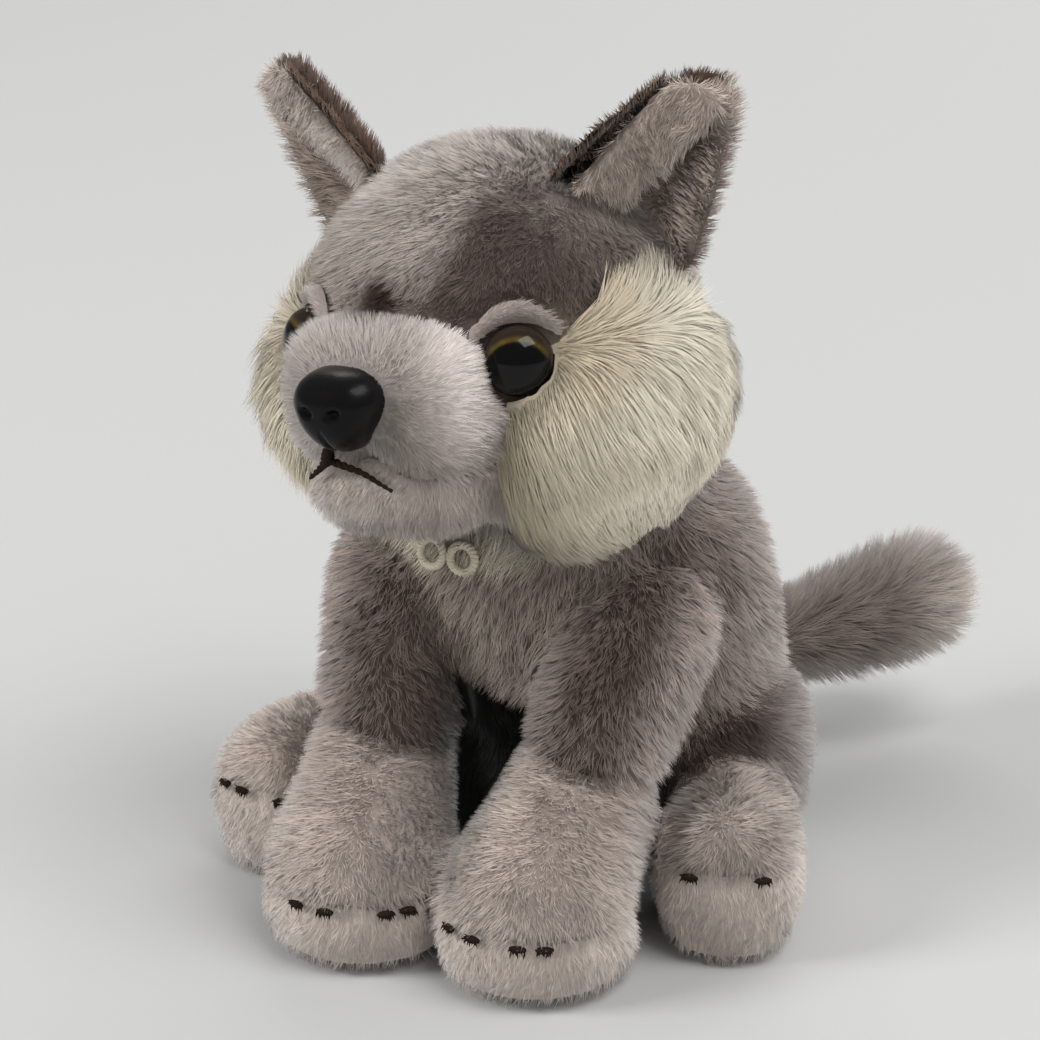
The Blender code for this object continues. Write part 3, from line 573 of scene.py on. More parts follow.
def colour_ear_edge(points, normals):
    return mixed(EAR_DARK, EAR_BROWN, 0.35 + smooth(noise(points, 6, 83), -0.3, 0.9) * 0.6)


def colour_paw(points, normals):
    return mixed(mottled(points, "paw"), PAW_PALE, smooth(-points[:, 2], -34, -12) * 0.7)


def colour_foot(points, normals):
    # Painted light and shade: the left hind foot darker, the right one lighter
    return colour_paw(points, normals) * np.where(points[:, 0] > 0, *FOOT_PAINTED_LIGHT)[:, None]


def colour_tail(points, normals):
    share = np.interp(points @ TAIL_WAY, TAIL_ALONG, TAIL_PALE)
    base = mixed(TAIL_DARK, TAIL_LIGHT, share + 0.22 * smooth(noise(points, 12, 95), -0.7, 0.8))
    return mixed(base, TAIL_DARK, smooth(normals[:, 2], 0.1, 0.8) * 0.6)


# How the pile lies: a direction for each place

LEG_SWIRL = np.array([27.0, -24.0, 76.0])
SWIRL_REACH = 14
SWIRL_PULL = 1.6
CROWN_WHORL = (4.0, 26.0, 46.0)
MUZZLE_TIP = (0.0, -60.0, -2.0)
MUZZLE_SPREAD = 1.1
PAW_AXIS = (18, -40.0)
PAW_LOW = (-26, -8)


def even_lay(outward, way, on_head=False):
    """A lay that is the same all over a form, but for its share away from the toy's middle."""
    def lay(points):
        side = np.sign((in_head(points) if on_head else points)[:, :1])
        ways = side * (outward, 0.0, 0.0) + way
        return head_way(ways) if on_head else ways
    return lay


def lay_leg(points):
    away = points - LEG_SWIRL
    swirl = np.exp(-np.linalg.norm(away, axis=1, keepdims=True) / SWIRL_REACH)
    return unit(away) * swirl * SWIRL_PULL + (0.1, -0.1, -1.0)


def lay_crown(points):
    return head_way(unit(in_head(points) - CROWN_WHORL))


def lay_muzzle(points):
    way = in_head(points) - MUZZLE_TIP
    way[:, 0] *= MUZZLE_SPREAD
    return head_way(unit(way))


def lay_chin(points):
    return head_way(in_head(points) * (0.02, 0, 0) + (0, -0.25, -1.0))


def lay_cheek(points):
    aside, back, up = in_head(points).T
    side = np.sign(aside)
    under = smooth(-up, 20, 32) * smooth(-np.abs(aside), -24, -12)
    under *= smooth(-back, 0, 14)
    top = smooth(up, 0, 9)
    way = np.stack([side * (0.30 - 0.25 * under + 0.2 * top), 0.20 - 0.90 * under, -1 + 2.1 * top], 1)
    return head_way(way)


def lay_paw(points):
    """Down, and outwards near the floor."""
    axis = np.stack([np.sign(points[:, 0]) * PAW_AXIS[0], np.full(len(points), PAW_AXIS[1])], 1)
    low = smooth(-points[:, 2], *PAW_LOW)[:, None]
    level = unit(points[:, :2] - axis) * (0.2 + 0.7 * low)
    return np.concatenate([level, np.full((len(points), 1), -1.0)], 1)


lay_down = even_lay(0, (0.0, -0.15, -1.0))
lay_thigh = even_lay(0, (0.0, 0.35, -1.0))
lay_tail = even_lay(0, (0.72, 0.69, 0.15))
lay_foot = even_lay(0.2, (0.0, -0.7, -0.8))
lay_brow = even_lay(1.0, (0.0, 0.6, 0.0), on_head=True)
lay_ear = even_lay(0.75, (0.0, 0.0, 1.0), on_head=True)
lay_ear_edge = even_lay(0.1, (0.0, -0.2, 1.0), on_head=True)
lay_lining = even_lay(0.25, (0.0, -0.3, -1.0), on_head=True)

# A pile's strands per square millimetre, its angles in degrees, and its tones at root, bend and tip
Pile = namedtuple("Pile", "length width density lean tuft pull wander along")
PILES = {
    "body": Pile(4.4, 0.26, 5.0, (22, 60), 1.6, 0.52, 38, (0.42, 0.85, 1.30)),
    "crown": Pile(3.7, 0.19, 5.8, (32, 66), 1.3, 0.48, 30, (0.58, 0.90, 1.16)),
    "muzzle": Pile(3.1, 0.17, 7.5, (30, 66), 1.0, 0.40, 26, (0.68, 0.92, 1.12)),
    "cheek": Pile(10.5, 0.22, 5.8, (66, 86), 3.6, 0.08, 10, (1.02, 1.01, 1.03)),
    "brow": Pile(2.0, 0.17, 9.0, (35, 70), 0.8, 0.30, 20, (0.60, 0.90, 1.15)),
    "ear": Pile(3.2, 0.22, 7.0, (22, 60), 1.4, 0.55, 44, (0.50, 0.85, 1.25)),
    "lining": Pile(2.7, 0.21, 7.0, (18, 55), 1.5, 0.60, 62, (0.50, 0.85, 1.25)),
    "edge": Pile(1.9, 0.22, 9.0, (35, 70), 1.1, 0.45, 30, (0.60, 0.85, 1.2)),
    "paw": Pile(3.3, 0.20, 6.0, (20, 58), 1.2, 0.50, 44, (0.56, 0.90, 1.18)),
    "sole": Pile(2.7, 0.20, 5.7, (28, 64), 1.0, 0.42, 36, (0.62, 0.90, 1.14)),
    "tail": Pile(5.0, 0.22, 5.6, (22, 58), 1.7, 0.55, 30, (0.42, 0.82, 1.28)),
}
# Bent strands vary less: swing of the root, spread of the light, and tone by tuft and by chance
BENT = ("cheek",)
Variety = namedtuple("Variety", "swing spread tufts chance")
VARIETY = {False: Variety(0.2, 1.0, 0.24, 0.08), True: Variety(0.1, 0.35, 0.03, 0.03)}
# How deep the cloth of a thin form lies under the outline, where its pile is no measure for it
THIN_DEPTH = {"brow": 0.7, "ear": 1.0, "lining": 1.0, "edge": 1.7}
# Shares of the pile's density: less on the largest cloth and the far cheek, more on the near one
THINNER = {"torso": 0.92, "cheek_left": 1.25, "cheek_right": 0.7}


def cloth_depth(cloth):
    """How far under the outline the cloth lies, so that the tips of its pile end near it."""
    if cloth in THIN_DEPTH:
        return THIN_DEPTH[cloth]
    root_lean, tip_lean = (math.radians(angle) for angle in PILES[cloth].lean)
    return PILES[cloth].length * 0.5 * (math.cos(root_lean) + math.cos(tip_lean)) * 0.95


# Each furry node: its cloth, the lay and colour of its pile, and the record's slot
FURRY = {
    "torso": ("body", lay_down, colour_chest, "fur_body"),
    "head": ("crown", lay_crown, colour_crown, "fur_crown"),
    "muzzle": ("muzzle", lay_muzzle, colour_muzzle, "fur_muzzle"),
    "chin": ("muzzle", lay_chin, mottled_as("chin"), "fur_muzzle"),
    "tail": ("tail", lay_tail, colour_tail, "fur_body"),
}
for side, _ in SIDES:
    FURRY["cheek_" + side] = ("cheek", lay_cheek, colour_cheek, "fur_cheek")
    FURRY["brow_" + side] = ("brow", lay_brow, mottled_as("brow"), "fur_brow")
    FURRY["ear_back_" + side] = ("ear", lay_ear, colour_ear_back, "fur_body")
    FURRY["ear_lining_" + side] = ("lining", lay_lining, colour_lining, "fur_lining")
    FURRY["ear_edge_" + side] = ("edge", lay_ear_edge, colour_ear_edge, "fur_dark")
    FURRY["front_leg_" + side] = ("body", lay_leg, colour_body, "fur_body")
    FURRY["front_paw_" + side] = ("paw", lay_paw, colour_paw, "fur_paw")
    FURRY["front_sole_" + side] = ("sole", lay_paw, mottled_as("sole"), "fur_paw")
    FURRY["thigh_" + side] = ("body", lay_thigh, colour_thigh, "fur_body")
    FURRY["hind_foot_" + side] = ("paw", lay_foot, colour_foot, "fur_paw")
    FURRY["hind_sole_" + side] = ("sole", lay_foot, mottled_as("sole"), "fur_paw")


# Where two cloths meet, the stitches pull both in
SEAM_PINCH = 1.1
SEAM_WIDTH = 2.2
SEAM_REACH = 6.0
# Painted shade along each seam, and how wide it is
SEAM_SHADE = 0.22
SEAM_SHADE_WIDTH = 1.0
EAR_PINCH = 0.3
# Cloth that lies deeper than its own depth and this is inside the toy, and gets no pile
SHOWN_BELOW = 0.3
# Voxels of a form's cloth, of a thin form's and of the whole outline
SKIN_VOXEL = 2.1
THIN_VOXEL = 1.1
ENVELOPE_VOXEL = 1.3
# How much longer the pile and how much fuller the cloth is towards the tail's end
TAIL_FLUFF = 0.35
TAIL_SWELL = 1.5
TAIL_END = (45, 85)
# How far the soles' rims spread on the floor
SOLE_SPREAD = 1.6
# The shade around the eyes and the nose, and how far from them and from the thread it is measured
HARD_SHADE = 0.45
HARD_SHADE_WIDTH = 2.0
HARD_REACH = 8.0
THREAD_REACH = 5.0
# Painted shade in the creases between claws and around each claw's stitches
CREASE_SHADE = 0.6
CLAW_SHADE = 0.6
CLAW_SHADE_WIDTH = 1.5
CREASE_WIDTH = 1.1
CREASE_LIFT = 1.8

# The point where the chest ends between the front legs, how far back the belly is below it, and how much
# painted shade darkens that hollow
CHEST_POINT = (3.0, -29.0, 44.0)
HOLLOW_DEPTH = 18.0
HOLLOW_SHADE = 0.93

# The eyes' domes, and the arched pads that hug them from above
EYE_AXIS_ASIDE = math.radians(38.5)
EYE_RADIUS = 6.5
EYE_DOME = 5.4
EYE_LIFT = 1.3
BROW_FROM = 165
BROW_TO = 26
BROW_RADIUS = 9.1
BROW_HALF = 2.4
BROW_THICK = 2.1
BROW_POINTS = 17
BROW_SIDES = 12


def eye_frame(side, sign):
    """The eye's foot on the head, and its directions aside, over and forward."""
    forward = head_way(np.array([sign * math.sin(EYE_AXIS_ASIDE), -math.cos(EYE_AXIS_ASIDE), 0.026]))
    aside = unit(np.cross((0, 0, 1), forward))
    over = np.cross(forward, aside)
    node_points, _ = welded("eye_" + side)
    centre = node_points.mean(0)
    reach = ((node_points - centre) @ forward).max()
    return centre + forward * (reach - EYE_DOME) + over * EYE_LIFT, aside, over, forward


def eye_dome(side, sign, around, down):
    """The eye's dome as places on a unit sphere, the same in the world, and its faces."""
    points, corners, sizes = sphere_grid(around, down)
    base, aside, over, forward = eye_frame(side, sign)
    flat = points.copy()
    flat[:, 2] = np.where(flat[:, 2] < 0, flat[:, 2] * 0.5, flat[:, 2])
    placed = flat @ np.stack([aside * EYE_RADIUS, over * EYE_RADIUS, forward * EYE_DOME]) + base
    return points, placed, corners, sizes


def brow_pad(side, sign):
    """A closed arched pad on the head, thick in its middle and thin at both ends."""
    base, aside, over, forward = eye_frame(side, sign)
    head_tree = tree_of(*solids["head"])
    rings = []
    turn = np.arange(BROW_SIDES) * 2 * math.pi / BROW_SIDES
    for share in np.linspace(0, 1, BROW_POINTS):
        angle = math.radians(BROW_FROM + (BROW_TO - BROW_FROM) * share)
        outward = aside * math.cos(angle) * sign + over * math.sin(angle)
        place = base + outward * BROW_RADIUS
        hit = head_tree.ray_cast((place + forward * 30).tolist(), (-forward).tolist())[0]
        middle = np.array(hit) if hit is not None else place
        full = math.sin(math.pi * min(max(share, 0.03), 0.97)) ** 0.45
        rings.append(middle + np.outer(np.cos(turn) * BROW_HALF * full, outward)
                     + np.outer(np.sin(turn) * BROW_THICK * full, forward))
    faces = []
    for row in range(0, (BROW_POINTS - 1) * BROW_SIDES, BROW_SIDES):
        for index in range(BROW_SIDES):
            a, b = row + index, row + (index + 1) % BROW_SIDES
            faces += [(a, b, b + BROW_SIDES), (a, b + BROW_SIDES, a + BROW_SIDES)]
    last = (BROW_POINTS - 1) * BROW_SIDES
    for index in range(1, BROW_SIDES - 1):
        faces += [(0, index + 1, index), (last, last + index, last + index + 1)]
    return np.concatenate(rings), np.array(faces)


# The outline of the whole stuffed toy, which every cloth lies under

HARD = ("eye_left", "eye_right", "nose")
solids = {node: welded(node) for node in (*FURRY, *HARD)}
for side, sign in SIDES:
    _, dome, corners, sizes = eye_dome(side, sign, 24, 16)
    solids["eye_" + side] = (dome, triangles_from(corners, sizes))
    solids["brow_" + side] = brow_pad(side, sign)
envelope_tree = tree_of(*arrays_of(remeshed("envelope", *fused(solids.values()), ENVELOPE_VOXEL)))
hard_tree = tree_of(*fused([solids[node] for node in HARD]))
cheek_tree = tree_of(*fused([solids["cheek_" + side] for side, _ in SIDES]))
THREADS = [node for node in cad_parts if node.startswith(("claw_", "mouth_", "lip_"))]
thread_tree = tree_of(*fused([welded(node) for node in THREADS]))


def distances_to(tree, points, reach):
    """How far each point is from the tree's surface, up to this reach."""
    found = np.full(len(points), reach)
    for index, point in enumerate(points.tolist()):
        hit = tree.find_nearest(point, reach)
        if hit[3] is not None:
            found[index] = hit[3]
    return found


def smoothed_over(mesh, values, rounds):
    ends = values_of(mesh.edges, "vertices", 2)
    for _ in range(rounds):
        total = values.copy()
        np.add.at(total, ends[:, 0], values[ends[:, 1]])
        np.add.at(total, ends[:, 1], values[ends[:, 0]])
        values = unit(total)
    return values


def near_seams(node, points):
    """How far each point is from the other furry solids."""
    others = [solids[other] for other in FURRY if other != node]
    return distances_to(tree_of(*fused(others)), points, SEAM_REACH)


def skin_of(node, cloth):
    """The cloth of a form: its solid, moved in under the toy's outline by the pile's depth."""
    mesh = remeshed(node, *solids[node], THIN_VOXEL if cloth in THIN_DEPTH else SKIN_VOXEL)
    points, faces = arrays_of(mesh)
    places, normals = nearest_on(envelope_tree, points)
    normals = smoothed_over(mesh, normals, 2)
    height = ((points - places) * normals).sum(1)
    depth = cloth_depth(cloth)
    seam = near_seams(node, points)
    pinch = SEAM_PINCH * near(seam, SEAM_WIDTH)
    if node.startswith("ear"):
        pinch *= EAR_PINCH
    sink = np.where(height > -depth - pinch, depth + pinch + height, 0)
    moved = points - normals * sink[:, None]
    if node == "tail":
        moved += normals * (TAIL_SWELL * smooth(points @ TAIL_WAY, *TAIL_END))[:, None]
    if "_sole_" in node:
        rim = smooth(-points[:, 2], -7, -1) * smooth(points[:, 2], -1, 0.5)
        moved += unit(normals * (1, 1, 0)) * (SOLE_SPREAD * rim)[:, None]
    if node == "torso":
        hollow, shade = between_legs(points)
        moved[:, 1] += hollow
    thread = distances_to(thread_tree, moved, THREAD_REACH)
    hard = distances_to(hard_tree, moved, HARD_REACH)
    if node != "torso":
        shade = 1 - CREASE_SHADE * near(to_creases(moved), CREASE_WIDTH)
        shade *= 1 - CLAW_SHADE * near(thread, CLAW_SHADE_WIDTH)
    shade *= 1 - HARD_SHADE * near(hard, HARD_SHADE_WIDTH)
    fields = {"normal": normals, "hard": hard, "thread": thread, "seam": seam, "shade": shade}
    mesh.vertices.foreach_set("co", (moved * MM).astype(np.float32).ravel())
    mesh.update()
    return mesh, moved, faces, fields, height > -depth - SHOWN_BELOW


def to_creases(points):
    """How far each point is from the creases that the stitches draw between neighbouring claws."""
    return np.min([to_path(points, line) for line in creases], axis=0)


def crease_lines():
    """A line from claw to claw on each paw, arched up between them on the hind feet."""
    lines = []
    for foot in ("front_left", "front_right", "hind_left", "hind_right"):
        nodes = sorted(node for node in THREADS if node.startswith("claw_" + foot))
        places = [welded(node)[0].mean(0) for node in nodes]
        lift = CREASE_LIFT if foot.startswith("hind") else 0.0
        for start, end in zip(places, places[1:]):
            lines.append([start, (start + end) / 2 + (0, 0, lift), end])
    return lines


def between_legs(points):
    """How far back the cloth below the chest goes between the front legs, and how much painted shade
    darkens it.
    """
    x, y, z = points.T
    edge = CHEST_POINT[2] + 0.5 * np.abs(x - CHEST_POINT[0])
    low = smooth(edge - z, 0, 9) * smooth(-y, 4, 14) * smooth(-np.abs(x), -30, -20)
    return low * HOLLOW_DEPTH, 1 - HOLLOW_SHADE * low


# Under the toy, below this height, the pile has this share of its strands
UNDER_TOP = 7
UNDER_SHARE = 0.15
# The wander of the lay by large and small waves, by tuft and by chance
WANDER_SPREAD = (1.1, 0.7, 1.3, 0.35)
# A strand's length against its pile's: at least, by chance and by tuft
LENGTH_SPREAD = (0.72, 0.30, 0.26)
# The sizes of the large and small waves
WANDER_WAVES = (15, 5)
# A tip's lean at least and by tuft, and a strand's width at least and by chance
TIP_LEAN = (0.82, 0.32)
WIDTH_SPREAD = (0.75, 0.5)
# How far strands catch the light aside by chance and by tuft, and how light they are at least and at most
LIGHT_ASIDE = (0.30, 0.9)
TONE = 0.88
TONE_RANGE = (0.1, 1.4)
# The bib's pile is longer, and the pile between the front legs is shorter and darker with painted shade
BIB_LONGER = 0.4
INNER_SHORTER = 0.4
INNER_SHADE = 0.6
# The share of a tuft's pull at the bend, how deep a root is, and how high every tip is over the floor
BEND_PULL = 0.4
ROOT_SINK = 0.4
FLOOR_GAP = 0.15


def roots_of(source, points, faces, fields, shown, density):
    """Random places on the cloth where strands stand, with the fields there, and fewer under the toy."""
    faces = faces[shown[faces].any(1)]
    a, b, c = points[faces].transpose(1, 0, 2)
    area = np.linalg.norm(np.cross(b - a, c - a), axis=1) / 2
    under = (fields["normal"][faces].mean(1)[:, 2] < -0.6) & (points[faces].mean(1)[:, 2] < UNDER_TOP)
    area = np.where(under, area * UNDER_SHARE, area)
    count = int(area.sum() * density)
    chosen = source.choice(len(faces), count, p=area / area.sum())
    first, second = source.random(count), source.random(count)
    flip = first + second > 1
    first[flip], second[flip] = 1 - first[flip], 1 - second[flip]
    shares = np.stack([1 - first - second, first, second], 1)
    corner = faces[chosen]
    root = (points[corner] * shares[..., None]).sum(1)
    normal = unit((fields["normal"][corner] * shares[..., None]).sum(1))
    here = {name: (fields[name][corner] * shares).sum(1) for name in ("hard", "thread", "seam", "shade")}
    return root, normal, here


def fitted(length, node, root, here):
    """The strands' length, shorter near hard parts and thread, and longer on the bib and the tail."""
    aside, back, up = in_head(root).T
    length = length * (0.34 + 0.66 * smooth(here["hard"], 0.4, 4.0))
    if node == "head":
        brow = smooth(-back, 16, 24) * smooth(-up, -20, -14)
        length *= 1 - 0.55 * brow * (1 - smooth(here["seam"], 0.5, 5.0))
    if node == "tail":
        length *= 1 + TAIL_FLUFF * smooth(root @ TAIL_WAY, *TAIL_END)
    if node == "muzzle":
        length *= 1 - 0.55 * smooth(back, *BRIDGE_BACK) * smooth(up, 4, 9)
    if node in ("muzzle", "chin"):
        length *= 0.45 + 0.55 * smooth(here["thread"], 1.5, 4.0)
    if node.startswith(("front", "hind")):
        length *= 0.70 + 0.30 * smooth(here["thread"], 0.8, 2.4)
    if node.startswith("cheek"):
        length *= 1 + 0.10 * smooth(up, 1, 10)
        outer = smooth(np.abs(aside), 25, 37)
        length *= 1 - (0.10 + 0.45 * outer) * smooth(-up, 8, 26)
        length *= 1 - 0.35 * smooth(back, -6, 8)
    if node == "torso" or node.startswith("front_leg"):
        length *= 1 + BIB_LONGER * bib_share(root)
    if node.startswith("ear_back"):
        length *= 1 - 0.45 * near_rim(root, BACK_REACH)
    return length


def inner_side(root, normal):
    """A share that is 1 where the front legs face each other."""
    inner = smooth(-normal[:, 0] * np.sign(root[:, 0]), 0.2, 0.8) * smooth(-np.abs(root[:, 0]), -16, -8)
    return inner * smooth(root[:, 2], 14, 22)


def column(values):
    return values[:, None]


def in_cloth(ways, normal):
    """The part of these directions that lies in the cloth."""
    return ways - normal * (ways * normal).sum(1, keepdims=True)


def strands(node, skin, cloth, lay, seed):
    """A form's strands as points and shading normals, with their roots, and how light each one is."""
    source = np.random.default_rng(seed)
    pile, vary = PILES[cloth], VARIETY[cloth in BENT]
    root, normal, here = roots_of(source, *skin, pile.density * DENSITY * THINNER.get(node, 1))
    count = len(root)
    centre, shared = tufts(root, pile.tuft, seed)
    tangent = unit(in_cloth(lay(root), normal))
    across = np.cross(normal, tangent)
    by_large, by_small, by_tuft, by_chance = WANDER_SPREAD
    wander = math.radians(pile.wander)
    large, small = WANDER_WAVES
    angle = noise(root, large, seed + 1) * wander * by_large
    angle += noise(root, small, seed + 2) * wander * by_small
    angle += (shared[:, 0] - 0.5) * wander * by_tuft
    angle += source.normal(size=count) * wander * by_chance
    heading = tangent * column(np.cos(angle)) + across * column(np.sin(angle))

    least, by_chance, by_tuft = LENGTH_SPREAD
    length = pile.length * (least + by_chance * source.random(count) + by_tuft * shared[:, 1])
    length = fitted(length, node, root, here)
    if node.startswith("front_"):
        inner = inner_side(root, normal)
        length *= 1 - INNER_SHORTER * inner
        here["shade"] *= 1 - INNER_SHADE * inner
    root_lean = math.radians(pile.lean[0]) * (1 - vary.swing + 2 * vary.swing * source.random(count))
    tip_lean = math.radians(pile.lean[1]) * (TIP_LEAN[0] + TIP_LEAN[1] * shared[:, 2])
    low_way = normal * column(np.cos(root_lean)) + heading * column(np.sin(root_lean))
    high_way = normal * column(np.cos(tip_lean)) + heading * column(np.sin(tip_lean))
    bend = root + low_way * column(length * 0.5)
    tip = bend + high_way * column(length * 0.5)
    pull = in_cloth(centre - root, normal)
    bend += pull * pile.pull * BEND_PULL
    tip += pull * pile.pull

    half = column(pile.width * (WIDTH_SPREAD[0] + WIDTH_SPREAD[1] * source.random(count)) / 2)
    root = root - normal * ROOT_SINK
    axis = unit(tip - root)
    flat = unit(np.cross(normal, axis))
    raised = np.cross(axis, flat)
    by_chance, by_tuft = LIGHT_ASIDE
    sideways = source.normal(size=count) * by_chance + (shared[:, 0] - 0.5) * by_tuft
    aside = flat * column(sideways) * vary.spread
    bend_normal = unit(normal + aside * 0.7 + heading * 0.12)
    tip_normal = unit(normal + aside + heading * 0.40)
    if cloth in BENT:
        points = bent_strand(root, bend, tip, flat, raised, half)
        shading = [normal, normal, bend_normal, bend_normal, bend_normal, tip_normal]
    else:
        points = straight_strand(root, tip, flat, raised, half)
        shading = [normal, normal, normal, tip_normal]
    points[..., 2] = np.maximum(points[..., 2], FLOOR_GAP)
    tone = TONE + vary.tufts * shared[:, 1] + source.normal(size=count) * vary.chance
    tone *= here["shade"] * (1 - SEAM_SHADE * near(here["seam"], SEAM_SHADE_WIDTH))
    return points, np.stack(shading, 1), root, normal, np.clip(tone, *TONE_RANGE)


# A strand is a three-sided spike or, where it is long, a flat root with a bent three-sided tip

SPIKE_FACES = np.array([0, 1, 3, 1, 2, 3, 2, 0, 3])
SPIKE_MAP = np.array([[0.1, 0.1], [0.5, 0.1], [0.9, 0.1], [0.5, 0.9]])
SPIKE_ALONG = [0, 0, 0, 2]
SPIKE_ANGLES = (90, 210, 330)
SPIKE_ROUND = 1.15
BENT_FACES = np.array([0, 1, 3, 0, 3, 2, 2, 3, 5, 3, 4, 5, 4, 2, 5])
BENT_MAP = np.array([[0.1, 0.1], [0.9, 0.1], [0.1, 0.5], [0.5, 0.5], [0.9, 0.5], [0.5, 0.9]])
BENT_ALONG = [0, 0, 1, 1, 1, 2]
BENT_RIDGE = 0.9
QUAD_MAP = np.array([[0.1, 0.1], [0.9, 0.1], [0.9, 0.9], [0.1, 0.9]])


def straight_strand(root, tip, flat, raised, half):
    corners = []
    for turn in np.radians(SPIKE_ANGLES):
        corners.append(root + (flat * math.cos(turn) + raised * math.sin(turn)) * half * SPIKE_ROUND)
    return np.stack([*corners, tip], 1)


def bent_strand(root, bend, tip, flat, raised, half):
    return np.stack([root + flat * half, root - flat * half, bend + flat * half, bend - flat * half,
                     bend - raised * half * BENT_RIDGE, tip], 1)


plain_pile = pile_finish("pile", 0.85, 0.15, sheen=0.45)
dark_pile = pile_finish("pile_dark", 0.90, 0.05, sheen=0.10)
cream_pile = pile_finish("pile_cream", 0.75, 0.2, sheen=0.35)
pile_finishes = {"cheek": cream_pile, "ear": dark_pile, "edge": dark_pile}


def lay_out(mesh, quads, count, pattern):
    """A colour map with a cell of its own for every face of the cloth and every strand."""
    cells = quads + count
    side = math.ceil(math.sqrt(cells))
    index = np.arange(cells)
    corner = np.stack([index % side, index // side], 1)
    quad_places = (corner[:quads, None, :] + QUAD_MAP[None]) / side
    strand_places = (corner[quads:, None, :] + pattern[None]) / side
    layer = mesh.uv_layers.new(name="OFBake")
    both = np.concatenate([quad_places.reshape(-1, 2), strand_places.reshape(-1, 2)])
    layer.uv.foreach_set("vector", both.astype(np.float32).ravel())


def shaded_by(mesh, normals):
    layer = mesh.attributes.new("custom_normal", "FLOAT_VECTOR", "POINT")
    layer.data.foreach_set("vector", normals.astype(np.float32).ravel())


def make_furry(index, node):
    """One form's cloth and pile as a piece that takes the place of its solid."""
    cloth, lay, colour, slot = FURRY[node]
    mesh, points, faces, fields, shown = skin_of(node, cloth)
    corners, sizes = quads_of(mesh)
    bpy.data.meshes.remove(mesh)
    skin = (points, faces, fields, shown)
    places, shading, root, normal, tone = strands(node, skin, cloth, lay, SEED + index * 10)
    pattern, cells, order = SPIKE_FACES, SPIKE_MAP, SPIKE_ALONG
    if cloth in BENT:
        pattern, cells, order = BENT_FACES, BENT_MAP, BENT_ALONG
    count = len(places)
    along = np.array(PILES[cloth].along)
    strand_colours = (colour(root, normal) * tone[:, None])[:, None, :] * along[order][None, :, None]
    skin_colours = colour(points, fields["normal"]) * along[0] * fields["shade"][:, None]
    strand_corners = (pattern[None, :] + np.arange(count)[:, None] * len(cells) + len(points)).ravel()
    all_sizes = np.concatenate([sizes, np.full(count * len(pattern) // 3, 3)])
    all_points = np.concatenate([points, places.reshape(-1, 3)])
    made = mesh_from("fur_" + node, all_points, np.concatenate([corners, strand_corners]), all_sizes)
    painted(made, np.concatenate([skin_colours, strand_colours.reshape(-1, 3)]))
    shaded_by(made, np.concatenate([fields["normal"], shading.reshape(-1, 3)]))
    lay_out(made, len(sizes), count, cells[pattern])
    piece_of("fur_" + node, made, pile_finishes.get(cloth, plain_pile), [node])


creases = crease_lines()
for index, node in enumerate(FURRY):
    make_furry(index, node)

# Eyes

IRIS_FROM = math.radians(58)
IRIS_FULL = math.radians(64)
IRIS_END = math.radians(76)
IRIS_AMBER = (0.095, 0.066, 0.016)
EYE_BLACK = (0.0025, 0.0022, 0.0022)
EYE_BROWN = (0.020, 0.013, 0.009)
EYE_GRID = (72, 48)
LOOK_DOWN = 0.34
LOOK_INWARD = 0.10


def make_eye(side, sign):
    """A glossy dome: black pupil, amber ring and dark brown edge, facing outwards from the head."""
    points, placed, corners, sizes = eye_dome(side, sign, *EYE_GRID)
    look = unit(np.array([-sign * LOOK_INWARD, -LOOK_DOWN, 1.0]))
    angle = np.arccos(np.clip(points @ look, -1, 1))
    ring = smooth(angle, IRIS_FROM, IRIS_FULL) * (1 - smooth(angle, IRIS_FULL, IRIS_END))
    ring = ring * smooth(points[:, 1], 0.0, 0.55)
    around = np.stack([np.arctan2(points[:, 1], points[:, 0]) * 40, angle * 4, angle * 0], 1)
    streak = 0.85 + 0.3 * noise(around, 9, 7)
    colour = mixed(EYE_BLACK, EYE_BROWN, smooth(angle, IRIS_FULL, IRIS_END))
    colour = mixed(colour, np.array(IRIS_AMBER) * streak[:, None], ring)
    mesh = mesh_from("eye_" + side, placed, corners, sizes)
    painted(mesh, colour)
    piece_of("eye_dome_" + side, mesh, eye_finish, ["eye_" + side])


eye_finish = pile_finish("eye_gloss", 0.10, 0.22)
for side, sign in SIDES:
    make_eye(side, sign)

# Nose

NOSE_SHIFT = np.array([-0.3, 0.0, -1.0])
NOSE_SCALE = np.array([1.07, 1.0, 1.02])
NOSTRIL_PLACE = (2.9, 0.9)
NOSTRIL_RADIUS = (1.25, 0.85)
NOSTRIL_DEPTH = 1.3
NOSE_GRID = (96, 64)
NOSE_SQUARE = 2.7
NOSE_NARROW = 0.42
GROOVE_DEPTH = 0.7


